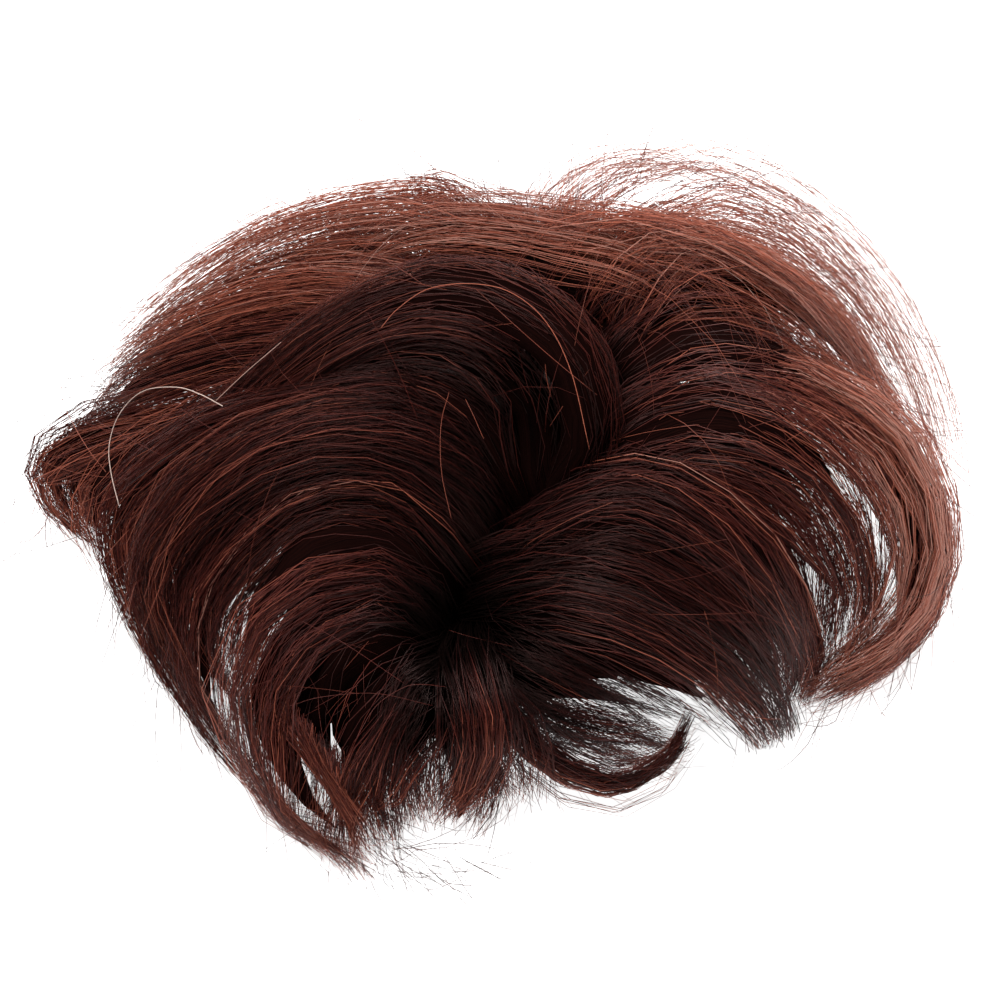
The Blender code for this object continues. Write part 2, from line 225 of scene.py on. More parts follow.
# Hair that the solids leave out: see-through ends, nets and falls that only guide hairs
LOCKS += gathered(Lock, {
    "left_arch_curls": (
        ("outer_wisp", 266, 16, 9, 0, ((4, -6, 22), (-6, 8, 39), (-22, 14, 47), (-40, 11, 44),
         (-56, 1, 35), (-62, -12, 24), (-60, -23, 13), (-54, -34, 7), (-46, -45, 4), (-37, -54, 2),
         (-28, -61, 1))),
        ("left_cascade", 262, 18, 10, 0.5, ((-14, 15, 46), (-30, 16, 46), (-46, 13, 40), (-58, 6, 32),
         (-65, -2, 24), (-65, -11, 17), (-61, -21, 11), (-55, -31, 7), (-48, -41, 4), (-41, -49, 3))),
    ),
    "left_side_curls": (
        ("left_middle", 170, 20, 10, 0.85, ((-24, 26, 42), (-36, 28, 41), (-49, 26, 35), (-60, 22, 27),
         (-68, 18.5, 17), (-70, 14, 9))),
    ),
    "front_curls": (
        ("front_drop", 248, 15, 8, 0.5, ((-11, -28, 18), (-18, -33, 25), (-22, -41, 20), (-22, -50, 11),
         (-20, -58, 5), (-18, -65, 1.5))),
        ("fall_between", 254, 14, 8, 0.5, ((-7, -31, 18), (-5, -40, 18), (-6, -48, 9), (-7, -55, 3),
         (-8, -60, 1))),
        ("low_arc", 246, 12, 7, 0, ((-14, -30, 18), (-24, -42, 18), (-27, -54, 8), (-20, -63, 3),
         (-8, -66, 2), (2, -62, 1.5), (7, -56, 1.5))),
        ("front_tip", 248, 14, 8, 0, ((-11, -28, 18), (-19, -34, 24), (-25, -43, 18), (-28, -54, 8),
         (-26, -63, 3), (-20, -69, 1))),
    ),
    "back_curls": (
        ("crown_back", 85, 17, 14, 0.9, ((20, 35, 40), (8, 40, 46), (-6, 42, 47), (-20, 40, 44),
         (-33, 35, 37))),
        ("crest_tuft", 95, 9, 6, 0, ((2, 46, 50), (-5, 52, 54), (-12, 55.5, 54), (-18, 52, 51),
         (-22, 45, 46))),
    ),
    "right_back_curls": (
        ("right_ridge", 55, 14, 9, 0.9, ((22, 36, 40), (34, 38, 43), (47, 34, 39), (58, 25, 29))),
        ("right_bridge", 60, 20, 12, 0.9, ((16, 28, 36), (28, 26, 40), (40, 23, 38), (52, 15, 30))),
        ("over_right", 70, 20, 8, 0, ((4, 40, 44), (10, 48, 53), (24, 49, 55), (40, 43, 50), (54, 33, 42),
         (64, 20, 30), (70, 6, 18))),
    ),
    "right_front_curls": (
        ("sweep_end", 288, 16, 9, 0.6, ((-3, -18, 20), (9, -15, 30), (24, -18, 32), (37, -26, 25),
         (45, -35, 13), (48, -40, 6), (48, -43, 2))),
        ("under_net", 284, 15, 9, 0, ((0, -26, 15), (10, -33, 16), (20, -38, 11), (29, -43, 6),
         (35, -47, 2))),
    ),
    "right_curls": (
        ("rim_end", 8, 16, 9, 0, ((40, 20, 33), (55, 18, 33), (68, 8, 26), (74, -8, 18), (72, -22, 10),
         (62, -32, 5), (50, -37, 3))),
        ("inner_end", 330, 15, 10, 0, ((16, 0, 26), (28, 1, 36), (41, -4, 32), (51, -16, 19), (54, -28, 8),
         (51, -37, 2))),
        ("cross_fall", 20, 18, 6, 0, ((18, 34, 48), (28, 40, 55), (36, 36, 55), (43, 26, 52), (47, 14, 48),
         (49, 6, 44))),
    ),
})

# Dark cores on one guide, or at a share of the way from one to a second, where hair bridges a gap that the
# photo shows no light through. core is the share of the section that one fills, end where on the way it ends.
# Their near-black colour is painted shade for the hair packed in the gap.
BETWEENS = gathered(Between, {
    "left_arch_curls": (
        ("outer_arch", "loop_lining", 0.5, 0.6, 0.9),
        ("inner_arch", "left_curl", 0.5, 0.6, 0.78),
        ("middle_arch", "left_curl", 0.5, 0.6, 0.72),
        ("middle_arch", "outer_wisp", 0.5, 0.5, 0.75),
    ),
    "right_front_curls": (
        ("under_sweep", "lower_sweep", 0.35, 0.8, 0.8),
        ("under_sweep", "lower_sweep", 0.7, 0.9, 0.9),
        ("lower_sweep", "upper_sweep", 0.5, 0.6, 0.9),
        ("upper_sweep", "inner_curl", 0.5, 0.6, 0.9),
        ("upper_sweep", "inner_end", 0.5, 0.6, 0.95),
        ("sweep_end", "inner_end", 0.4, 0.6, 0.9),
    ),
    "right_curls": (
        ("inner_end", "inner_end", 0.0, 0.6, 0.9),
        ("rim_end", "rim_end", 0.0, 0.5, 0.95),
        ("right_lining", "right_lining", 0.0, 0.6, 0.6),
        ("upper_curl", "upper_curl", 0.0, 0.6, 0.68),
        ("inner_curl", "inner_curl", 0.0, 0.6, 0.68),
        ("rim_curl", "rim_curl", 0.0, 0.4, 0.7),
        ("upper_curl", "right_fall", 0.5, 0.5, 0.8),
        ("inner_curl", "upper_curl", 0.5, 0.6, 0.75),
    ),
    "left_side_curls": (
        ("far_left_curl", "left_shoulder", 0.5, 0.5, 0.72),
        ("far_left_lining", "far_left_curl", 0.5, 0.7, 0.95),
        ("far_left_lining", "loop_lining", 0.5, 0.6, 0.78),
        ("far_left_lining", "outer_arch", 0.5, 0.6, 0.8),
        ("far_left_curl", "outer_arch", 0.4, 0.6, 0.85),
    ),
    "front_curls": (
        ("left_curl", "hollow_lining", 0.5, 0.8, 0.95),
        ("hollow_lining", "front_curl", 0.5, 0.9, 0.85),
        ("front_curl", "middle_fall", 0.5, 0.6, 0.78),
        ("left_curl", "front_curl", 0.5, 0.5, 0.72),
        ("middle_fall", "middle_fall", 0.0, 0.6, 0.74),
        ("middle_fall", "short_fall", 0.5, 0.6, 0.74),
    ),
})

# A flow spreads its hairs between guides. cover is how far they fill the locks' width, loose how much they
# stray, tone and tip_tone how light they are, thin the share of full thickness, tip the share of the way
# where the first hairs end, and start where the roots gather across the guides, if they do. The tones carry
# painted light: flows at the rim and back are given lighter tones, and those in the middle of the mass
# darker, for how the light falls on them.
FLOWS = gathered(Flow, {
    "crown_curls": (
        (("loop_lining", "loop"), 760, 12, 80, 1.0, 0.9, 0.31, 0.38, 0.13, 1.0, 0.75, 0.95),
    ),
    "left_arch_curls": (
        (("inner_arch", "middle_arch", "outer_arch"), 900, 12, 96, 1.0, 0.9, 0.29, 0.4, 0.13, 1.0, 0.85),
        (("outer_arch", "loop_lining"), 300, 12, 36, 0.8, 1.0, 0.33, 0.42, 0.13, 0.95, 0.7, 0.0),
        (("outer_arch", "outer_wisp"), 380, 12, 34, 1.0, 1.1, 0.38, 0.6, 0.13, 0.8, 0.75),
        (("middle_arch", "outer_wisp"), 200, 12, 20, 0.9, 1.0, 0.36, 0.56, 0.13, 1.0, 0.85),
        (("left_cascade",), 320, 12, 26, 1.0, 0.9, 0.34, 0.56, 0.13, 1.0, 0.85),
        (("middle_arch", "left_curl"), 200, 12, 18, 0.9, 1.0, 0.34, 0.5, 0.13, 1.0, 0.8),
    ),
    "right_front_curls": (
        (("lower_sweep", "upper_sweep"), 660, 11, 70, 1.0, 0.9, 0.28, 0.35, 0.14, 1.0, 0.85),
        (("upper_sweep", "inner_curl"), 240, 11, 26, 1.0, 1.1, 0.34, 0.42, 0.14, 0.95, 0.9, 0.0),
        (("under_sweep", "lower_sweep"), 200, 9, 20, 1.0, 0.8, 0.15, 0.5, 0.08, 1.0, 0.85, 1.0),
        (("under_net",), 460, 9, 20, 1.2, 1.2, 0.42, 0.68, 0.12, 0.8, 0.8),
        (("upper_sweep", "inner_end"), 300, 11, 26, 0.9, 1.0, 0.31, 0.4, 0.14, 0.95, 0.9),
        (("sweep_end",), 330, 11, 20, 1.0, 0.9, 0.32, 0.38, 0.14, 1.1, 0.92),
    ),
    "front_curls": (
        (("left_curl",), 400, 11, 24, 1.05, 1.1, 0.38, 0.7, 0.13, 0.95, 0.88),
        # Painted shade: these hairs are given tones near the bottom of the ramp, near-black in the front
        # hollow
        (("hollow_lining",), 16, 8, 10, 1.0, 0.8, 0.04, 0.1, 0.05, 1.0, 0.7),
        (("front_curl",), 300, 10, 18, 1.05, 1.2, 0.36, 0.7, 0.14, 0.95, 0.85),
        (("middle_fall",), 560, 8, 20, 1.1, 1.1, 0.3, 0.7, 0.14, 1.1, 0.86),
        (("short_fall",), 260, 8, 20, 1.2, 1.2, 0.28, 0.7, 0.14, 1.05, 0.85),
        (("low_arc",), 45, 12, 12, 1.0, 2.0, 0.3, 0.42, 0.14, 0.6, 0.5),
        (("hook",), 200, 11, 14, 0.5, 0.5, 0.4, 0.48, 0.14, 0.9, 0.92),
        (("left_curl", "front_curl"), 160, 10, 20, 0.9, 1.3, 0.34, 0.64, 0.14, 0.8, 0.8),
        (("middle_fall", "short_fall"), 150, 8, 22, 1.0, 1.2, 0.32, 0.64, 0.14, 1.0, 0.88),
        (("front_curl", "front_tip"), 280, 11, 20, 1.0, 1.1, 0.4, 0.7, 0.14, 0.85, 0.85),
        (("left_curl", "front_tip"), 160, 11, 14, 0.9, 1.2, 0.4, 0.68, 0.14, 0.8, 0.85),
        (("front_drop",), 300, 10, 20, 1.05, 1.1, 0.34, 0.62, 0.14, 0.95, 0.86),
        (("under_net", "hook"), 220, 9, 20, 1.0, 1.2, 0.4, 0.62, 0.14, 0.85, 0.85),
        (("fall_between",), 200, 8, 20, 1.1, 1.1, 0.28, 0.7, 0.14, 1.0, 0.84),
    ),
    "right_curls": (
        (("inner_curl", "upper_curl"), 600, 11, 60, 1.0, 1.1, 0.33, 0.46, 0.14, 0.95, 0.85),
        (("upper_curl", "right_fall"), 220, 11, 28, 1.0, 1.2, 0.5, 0.66, 0.14, 0.95, 0.7),
        (("upper_curl", "rim_curl"), 300, 11, 26, 0.9, 1.3, 0.58, 0.76, 0.14, 0.8, 0.7),
        (("rim_curl",), 350, 12, 34, 1.1, 1.4, 0.86, 0.84, 0.16, 0.78, 0.93),
        (("cross_fall",), 70, 10, 18, 1.3, 1.8, 0.5, 0.66, 0.12, 0.6, 0.45),
        (("inner_end", "rim_curl"), 280, 11, 16, 0.9, 1.2, 0.42, 0.6, 0.14, 0.95, 0.88),
        (("rim_end", "rim_curl"), 220, 12, 16, 1.0, 1.1, 0.56, 0.62, 0.15, 0.9, 0.9),
        (("inner_end",), 300, 11, 20, 1.0, 1.0, 0.33, 0.42, 0.14, 1.05, 0.94),
    ),
    "right_back_curls": (
        (("right_lining_back", "right_fall"), 560, 11, 46, 1.05, 1.2, 0.8, 0.84, 0.14, 0.95, 0.7),
        (("right_fall", "halo"), 200, 11, 28, 1.0, 1.4, 0.84, 0.88, 0.14, 0.8, 0.65),
        (("halo",), 150, 12, 34, 1.3, 1.8, 0.82, 0.9, 0.13, 0.6, 0.8),
        (("halo_crest",), 130, 10, 22, 1.5, 1.8, 0.82, 0.88, 0.13, 0.6, 0.5),
        (("back_right_fall",), 220, 8, 16, 1.15, 1.0, 0.5, 0.7, 0.14, 1.1, 0.93),
        (("right_fall", "over_right"), 400, 10, 40, 1.0, 1.3, 0.72, 0.82, 0.15, 0.95, 0.75),
    ),
    "left_side_curls": (
        (("left_shoulder",), 330, 11, 28, 1.05, 1.2, 0.62, 0.72, 0.14, 0.9, 0.7),
        (("far_left_curl", "left_shoulder"), 280, 11, 34, 1.0, 1.3, 0.54, 0.66, 0.14, 0.9, 0.75),
        (("far_left_lining", "far_left_curl"), 470, 11, 34, 1.0, 1.2, 0.46, 0.56, 0.14, 0.95, 0.94),
        (("far_left_lining", "loop"), 180, 11, 24, 0.8, 1.2, 0.44, 0.52, 0.14, 0.95, 0.7),
        (("left_lining",), 40, 8, 16, 1.0, 1.0, 0.36, 0.4, 0.12, 1.0, 0.7),
        (("far_left_curl", "outer_arch"), 200, 12, 30, 0.9, 1.0, 0.46, 0.62, 0.14, 0.95, 0.85),
        (("left_middle",), 220, 10, 18, 1.05, 1.2, 0.54, 0.62, 0.14, 0.95, 0.8),
    ),
    "back_curls": (
        (("top_band",), 360, 11, 34, 1.05, 1.3, 0.84, 0.84, 0.14, 0.9, 0.7),
        (("left_drift", "left_shoulder"), 240, 11, 26, 1.0, 1.4, 0.8, 0.82, 0.14, 0.8, 0.65),
        (("left_drift",), 290, 11, 26, 1.3, 1.6, 0.78, 0.88, 0.14, 0.7, 0.55),
        (("back_fall",), 150, 8, 18, 1.1, 1.0, 0.5, 0.7, 0.14, 1.1, 0.92),
        (("back_left_fall",), 200, 8, 18, 1.15, 1.0, 0.5, 0.7, 0.14, 1.1, 0.93),
        (("crest_tuft",), 90, 9, 14, 1.2, 1.8, 0.7, 0.7, 0.14, 0.7, 0.6),
    ),
})

# Single hairs that leave the locks between low and high on their way, as arcs from shortest to longest in mm.
# spread is how far they turn off sideways and lift how far they leave the surface. Their tone carries the
# same painted light as the flows', lighter at the rim and back.
STRAYS = gathered(Stray, {
    "crown_curls": (
        (("loop_lining", "loop"), 80, 0.3, 0.9, 8, 34, 0.5, 0.12, 0.55, 0.6),
    ),
    "left_arch_curls": (
        (("inner_arch", "middle_arch", "outer_arch"), 90, 0.3, 0.95, 8, 32, 0.5, 0.12, 0.5, 0.6),
        (("outer_wisp",), 50, 0.6, 0.98, 6, 22, 0.6, 0.5, 0.6, 0.5),
        (("outer_wisp", "left_cascade"), 80, 0.4, 0.98, 12, 36, 0.8, 0.8, 0.42, 0.7),
    ),
    "right_front_curls": (
        (("lower_sweep", "upper_sweep"), 80, 0.3, 0.98, 8, 34, 0.5, 0.12, 0.5, 0.6),
    ),
    "front_curls": (
        (("left_curl", "front_curl"), 90, 0.4, 0.98, 6, 22, 0.9, 0.4, 0.5, 0.5),
        (("hollow_lining",), 14, 0.2, 0.9, 8, 20, 1.2, 0.3, 0.28, 0.4),
        (("middle_fall", "short_fall", "hook"), 80, 0.5, 0.98, 6, 20, 0.9, 0.4, 0.5, 0.5),
        (("front_tip", "low_arc"), 70, 0.6, 0.98, 10, 30, 0.9, 0.8, 0.4, 0.7),
    ),
    "right_curls": (
        (("inner_curl", "upper_curl", "rim_curl"), 180, 0.3, 0.98, 8, 40, 0.9, 0.14, 0.62, 0.6),
        (("rim_curl", "rim_end"), 80, 0.4, 0.98, 12, 40, 0.9, 0.7, 0.5, 0.7),
    ),
    "right_back_curls": (
        (("right_fall", "over_right"), 140, 0.2, 0.98, 8, 40, 0.9, 0.25, 0.76, 0.55),
        (("halo_crest",), 50, 0.2, 0.98, 8, 28, 0.7, 0.5, 0.7, 0.45),
        (("halo", "halo_crest"), 100, 0.1, 0.98, 14, 44, 0.8, 0.9, 0.55, 0.7),
    ),
    "left_side_curls": (
        (("far_left_lining", "far_left_curl", "left_shoulder"), 120, 0.3, 0.98, 6, 26, 0.8, 0.4, 0.62, 0.55),
        (("far_left_curl", "left_shoulder"), 90, 0.2, 0.98, 12, 40, 1.0, 0.9, 0.42, 0.7),
    ),
    "back_curls": (
        (("top_band", "left_drift"), 150, 0.1, 0.98, 8, 34, 0.9, 0.4, 0.74, 0.55),
        (("top_band", "left_drift"), 110, 0.1, 0.98, 14, 44, 1.0, 1.0, 0.5, 0.7),
    ),
})

# Hairs that the photo shows one by one
STRANDS = gathered(Strand, {
    "left_side_curls": (
        (1.0, 1.1, ((-67.5, -1, 36), (-69, 5, 38), (-69.3, 10, 40), (-67.5, 15.3, 43), (-63.4, 19.3, 46),
         (-57.4, 20, 49), (-53, 18.7, 51), (-49, 16.6, 53))),
        (0.95, 0.8, ((-50.2, 17.6, 53), (-45, 22.5, 57), (-38.7, 27.9, 60))),
        (0.72, 0.7, ((-78.7, 21.6, 22), (-78, 17, 24), (-74, 9.7, 23), (-69.8, 4.3, 21))),
    ),
    "crown_curls": (
        (0.85, 0.8, ((-21, 30.4, 65), (-18, 33.8, 67), (-12.6, 37.3, 69), (-5.4, 38.2, 69.5),
         (1.8, 36.7, 69), (8.1, 31.5, 65), (12.6, 22.5, 59), (15.8, 9, 48))),
        (0.7, 0.5, ((-6.1, 17.8, 55), (-4.5, 14.5, 54), (-2.9, 10.8, 52))),
    ),
    "right_back_curls": (
        (0.8, 0.6, ((10.8, 54, 48), (18, 60, 50), (27, 64.3, 50), (33, 64, 48), (37.8, 61.2, 46))),
    ),
    "left_arch_curls": (
        (0.68, 0.55, ((-9, 19, 56), (-10.4, 13.3, 55), (-10.3, 5, 51), (-8.6, -3.2, 46))),
    ),
    "right_front_curls": (
        (0.7, 0.6, ((2.5, -10.3, 30), (5.4, -7.4, 37), (12.8, -3.2, 46), (19.8, -0.4, 50))),
    ),
    "front_curls": (
        (0.5, 0.5, ((-9, -23, 27), (-5.4, -24.1, 27), (2.2, -25.9, 26))),
        (0.5, 0.5, ((-34.7, -21.4, 36), (-27.7, -25, 37), (-16.9, -32.2, 32))),
        (0.5, 0.5, ((-37, -36.2, 30), (-31.3, -34.6, 32), (-21.8, -34, 32), (-11.9, -36.2, 26))),
        (0.52, 0.6, ((-25.6, -42.5, 24), (-21.8, -36.2, 33), (-16.9, -32.9, 35), (-13.5, -32.4, 34),
         (-9.5, -32.9, 30))),
        (0.5, 0.5, ((-35.8, -59.9, 2), (-30.6, -65.5, 1.5), (-24.7, -68.8, 1))),
        (0.5, 0.5, ((-19.6, -65.2, 3), (-14, -68.8, 2), (-7.4, -66.8, 2), (-3.6, -62.1, 3))),
    ),
})

# Painted shade for the deep places where little light gets in: hair within reach of one is darker by up to
# depth, and the cores there darker still
HOLLOWS = (
    Hollow(8, 18, 42, 13, 0.45),
    Hollow(6, 27, 46, 10, 0.3),
    Hollow(-12, -22, 18, 12, 0.35),
    Hollow(4, -31, 14, 14, 0.42),
    Hollow(18, -33, 13, 10, 0.35),
    Hollow(-27, -37, 16, 11, 0.4),
    Hollow(-7, -9, 28, 9, 0.2),
    Hollow(-7, -29, 20, 11, 0.4),
    Hollow(-15, -39, 20, 8, 0.4),
)

# Round places in the picture that a bunch's hairs go round, so that the dark inside shows
CLEARINGS = (
    Clearing("crown_curls", 8.6, 16, 7.5),
    Clearing("crown_curls", 7.5, 22, 6),
    Clearing("crown_curls", 9, 9, 6.5),
    Clearing("left_arch_curls", 9, 15, 7),
    Clearing("front_curls", -31, -34, 5),
    Clearing("front_curls", -27, -38, 5.5),
    Clearing("front_curls", -23, -32, 4),
)

# Openings between the hairs that the picture shows the table through: the middle, the angle that hairs run at
# there, and half the length and width
SLITS = (
    Slit(57.5, -17.5, -54, 9, 2.0),
    Slit(68.8, -21.6, 82, 9, 1.5),
    Slit(68.2, -9.4, -76, 8, 1.3),
    Slit(62.5, 1.3, -43, 8, 1.3),
    Slit(50.4, -13.5, -43, 9, 1.3),
    Slit(74, -7, -72, 8, 1.0),
    Slit(-52, -31.5, -70, 9, 1.4),
    Slit(-47.7, -38.7, -62, 9, 1.8),
    Slit(-34.6, -52, -50, 14, 3.6),
)


def srgb(code):
    """A hex colour code turned linear, with alpha."""
    values = [int(code[i:i + 2], 16) / 255 for i in (0, 2, 4)]
    return (*[v / 12.92 if v <= 0.04045 else ((v + 0.055) / 1.055) ** 2.4 for v in values], 1.0)


# Settings that a user would change

class HairSettings(bpy.types.PropertyGroup):
    """Sizes and colours of the hair"""
    fibre_radius: FloatProperty(
        name="Fibre Radius", description="Half the thickness of a drawn hair, coarser than a real one",
        default=0.09 * MM, min=0.01 * MM, subtype="DISTANCE", unit="LENGTH")
    fullness: FloatProperty(
        name="Fullness", description="Share of the hairs that each flow is given", default=0.77, min=0.05,
        max=1.5)
    seed: IntProperty(name="Seed", description="Start of the random draws", default=7)
    # The colours are stops that the hair's tone is read on: deep is reached by the painted shade of the
    # hollows and roots, and middle and light by the painted light on hair in the light and at the rim
    deep_colour: FloatVectorProperty(
        name="Deep", description="Hair in the hollows and at the roots", size=3, subtype="COLOR",
        default=srgb("0c0504")[:3])
    dark_colour: FloatVectorProperty(
        name="Dark", description="Most of the hair", size=3, subtype="COLOR", default=srgb("2d1110")[:3])
    middle_colour: FloatVectorProperty(
        name="Middle", description="Hair in the light", size=3, subtype="COLOR", default=srgb("5c2720")[:3])
    light_colour: FloatVectorProperty(
        name="Light", description="Loose hair at the rim", size=3, subtype="COLOR",
        default=srgb("bc6a52")[:3])
    pale_colour: FloatVectorProperty(
        name="Pale", description="A few faded hairs", size=3, subtype="COLOR", default=srgb("ceb6aa")[:3])
    glow: FloatProperty(
        name="Glow", description="Share of the light that passes through a hair", default=0.12, min=0.0,
        max=1.0)


class BandSettings(bpy.types.PropertyGroup):
    """Sizes and colours of the elastic band and the weft"""
    rib_depth: FloatProperty(
        name="Rib Depth", description="Depth of the grooves between the elastic's rubber threads",
        default=0.22 * MM, min=0.0, subtype="DISTANCE", unit="LENGTH")
    wrap_count: IntProperty(
        name="Wraps", description="Turns of thread that sew the weft to the band", default=150)
    band_colour: FloatVectorProperty(
        name="Elastic", description="Woven cover of the elastic", size=3, subtype="COLOR",
        default=srgb("191818")[:3])


class StageSettings(bpy.types.PropertyGroup):
    """Camera, lights and floor"""
    camera_distance: FloatProperty(
        name="Camera Distance", description="From the camera to the middle of the picture", default=3.0,
        subtype="DISTANCE", unit="LENGTH")
    picture_width: FloatProperty(
        name="Picture Width", description="What the picture spans at the hairpiece", default=0.18,
        subtype="DISTANCE", unit="LENGTH")
    key_power: FloatProperty(name="Key Power", description="Power of the big soft light", default=8.0,
                             subtype="POWER", unit="POWER")


def add_node(tree, kind, inputs=None, **settings):
    """Adds a node with its settings, and sets or links each input."""
    made = tree.nodes.new(kind)
    for name, value in settings.items():
        setattr(made, name, value)
    for name, value in (inputs or {}).items():
        if isinstance(value, bpy.types.NodeSocket):
            tree.links.new(value, made.inputs[name])
        else:
            made.inputs[name].default_value = value
    return made


def new_material(name):
    made = bpy.data.materials.new(name)
    made.use_nodes = True
    made.node_tree.nodes.clear()
    return made, made.node_tree


# Guides

def in_space(across, up, height):
    """The point that a viewer at VIEW_ELEVATION sees at (across, up) and that lies at this height."""
    back = (up - height * math.cos(VIEW_ELEVATION)) / math.sin(VIEW_ELEVATION)
    return LAYOUT_CENTRE + Vector((across, back, height)) * MM


def on_band(angle, radius, height):
    turn = math.radians(angle)
    return BAND_CENTRE + Vector((radius * math.cos(turn), radius * math.sin(turn), height))


def unit(vectors):
    return vectors / np.maximum(np.linalg.norm(vectors, axis=-1, keepdims=True), 1e-12)


def square_to(direction, along):
    """The part of each direction that is square to the run, at unit length."""
    return unit(direction - np.sum(direction * along, axis=-1, keepdims=True) * along)


def smooth_curve(points):
    """A fine Catmull-Rom curve through the points."""
    ends = np.vstack([2 * points[0] - points[1], points, 2 * points[-1] - points[-2]])
    t = np.linspace(0, 1, 40, endpoint=False)[:, None]
    pieces = []
    for a, b, c, d in zip(ends, ends[1:], ends[2:], ends[3:]):
        pieces.append(0.5 * (2 * b + (c - a) * t + (2 * a - 5 * b + 4 * c - d) * t ** 2
                             + (3 * b - a - 3 * c + d) * t ** 3))
    return np.vstack(pieces + [points[-1:]])


def at_even_worth(curve):
    """The curve read at stations that lie closer together where it turns."""
    steps = np.diff(curve, axis=0)
    lengths = np.linalg.norm(steps, axis=1)
    along = unit(steps)
    turns = np.arccos(np.clip(np.sum(along[1:] * along[:-1], axis=1), -1, 1))
    worth = lengths + TURN_WORTH * np.concatenate([[0.0], turns])
    reach = np.concatenate([[0.0], np.cumsum(worth)])
    goals = np.linspace(0, reach[-1], GUIDE_STATIONS)
    return np.stack([np.interp(goals, reach, curve[:, axis]) for axis in range(3)], axis=1)


def swell(way):
    ways, shares = zip(*SWELL)
    return np.interp(way, ways, shares)


def make_guide(lock):
    """A lock's centre line, outward and sideways directions and half sizes: 11 numbers at each station."""
    points = [on_band(lock.root_angle, ROOT_RADIUS, ROOT_HEIGHT)] + [in_space(*p) for p in lock.route]
    centre = at_even_worth(smooth_curve(np.array([tuple(p) for p in points])))
    along = unit(np.gradient(centre, axis=0))
    crest = int(np.argmax(centre[:, 2]))
    away = centre - np.array(tuple(HEART))
    out = np.zeros_like(centre)
    out[crest] = square_to(away[crest], along[crest])
    steps = [(i, i - 1) for i in range(crest + 1, GUIDE_STATIONS)]
    steps += [(i, i + 1) for i in reversed(range(crest))]
    for here, before in steps:
        carried = square_to(out[before], along[here])
        pull = unit(away[here]) - np.dot(unit(away[here]), along[here]) * along[here]
        if np.dot(pull, carried) > 0:
            carried = square_to(carried + pull * OUTWARD_PULL, along[here])
        out[here] = carried
    share = swell(np.linspace(0, 1, GUIDE_STATIONS))[:, None]
    half = np.array([[lock.width, lock.thickness]]) * MM / 2
    return np.hstack([centre, out, np.cross(along, out), share * half])


GUIDES = {lock.name: make_guide(lock) for lock in LOCKS}


def read_guides(names, across, way):
    """Centre, out, side, half width and half depth at every (hair, station), blended between the guides."""
    table = np.stack([GUIDES[name] for name in names])
    row = np.clip(across, 0, 1) * (len(names) - 1)
    low = np.minimum(row.astype(int), max(len(names) - 2, 0))
    high = np.minimum(low + 1, len(names) - 1)
    column = np.clip(way, 0, 1) * (GUIDE_STATIONS - 1)
    station = np.minimum(column.astype(int), GUIDE_STATIONS - 2)
    blend = (row - low)[..., None]
    part = (column - station)[..., None]
    lower = table[low, station] * (1 - part) + table[low, station + 1] * part
    upper = table[high, station] * (1 - part) + table[high, station + 1] * part
    read = lower * (1 - blend) + upper * blend
    return read[..., 0:3], unit(read[..., 3:6]), unit(read[..., 6:9]), read[..., 9], read[..., 10]


# Meshes

def add_object(name, mesh, material, node_name, stands_for=True):
    """Links a finished mesh, gives it its material, hangs it on the body's empty and, if it stands for a part
    of the frame, hides that part.
    """
    made = bpy.data.objects.new(name, mesh)
    bpy.context.scene.collection.objects.link(made)
    mesh.materials.append(material)
    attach(made, BODY)
    if stands_for:
        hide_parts(node_name)
    return made


def tube_mesh(name, batches):
    """One mesh of many thin closed tubes, from batches of (paths, refs, radii, tone)."""
    corners, loops, starts, tones = [], [], [], []
    first_vertex = 0
    first_loop = 0
    for paths, refs, radii, tone in batches:
        count, stations, _ = paths.shape
        along = unit(np.gradient(paths, axis=1))
        side = unit(np.cross(along, refs))
        up = np.cross(side, along)
        corner = np.arange(HAIR_SIDES)
        turn = corner * 2 * np.pi / HAIR_SIDES
        ring = (side[:, :, None, :] * np.cos(turn)[None, None, :, None]
                + up[:, :, None, :] * np.sin(turn)[None, None, :, None])
        corners.append((paths[:, :, None, :] + ring * radii[:, :, None, None]).reshape(-1, 3))
        tones.append(np.repeat(tone.reshape(-1), HAIR_SIDES))
        base = first_vertex + np.arange(count)[:, None, None] * stations * HAIR_SIDES
        station = np.arange(stations - 1)[None, :, None] * HAIR_SIDES
        following = (corner + 1) % HAIR_SIDES
        a = base + station + corner
        b = base + station + following
        quads = np.stack([a, a + HAIR_SIDES, b + HAIR_SIDES, b], axis=-1).reshape(-1)
        head = base[:, 0] + corner
        tail = base[:, 0] + (stations - 1) * HAIR_SIDES + corner[::-1]
        caps = np.concatenate([head, tail], axis=1).reshape(-1)
        loops.append(np.concatenate([quads, caps]))
        starts.append(first_loop + np.concatenate([np.arange(0, quads.size, 4),
                                                   quads.size + np.arange(0, caps.size, HAIR_SIDES)]))
        first_vertex += count * stations * HAIR_SIDES
        first_loop += quads.size + caps.size
    corners = np.concatenate(corners)
    loops = np.concatenate(loops)
    starts = np.concatenate(starts)
    mesh = bpy.data.meshes.new(name)
    mesh.vertices.add(len(corners))
    mesh.vertices.foreach_set("co", corners.reshape(-1))
    mesh.loops.add(len(loops))
    mesh.loops.foreach_set("vertex_index", loops.astype(np.int32))
    mesh.polygons.add(len(starts))
    mesh.polygons.foreach_set("loop_start", starts.astype(np.int32))
    mesh.update(calc_edges=True)
    layer = mesh.attributes.new("tone", "FLOAT", "POINT")
    layer.data.foreach_set("value", np.concatenate(tones).astype(np.float32))
    mesh.shade_smooth()
    return mesh


def ease(value):
    value = np.clip(value, 0, 1)
    return value * value * (3 - 2 * value)


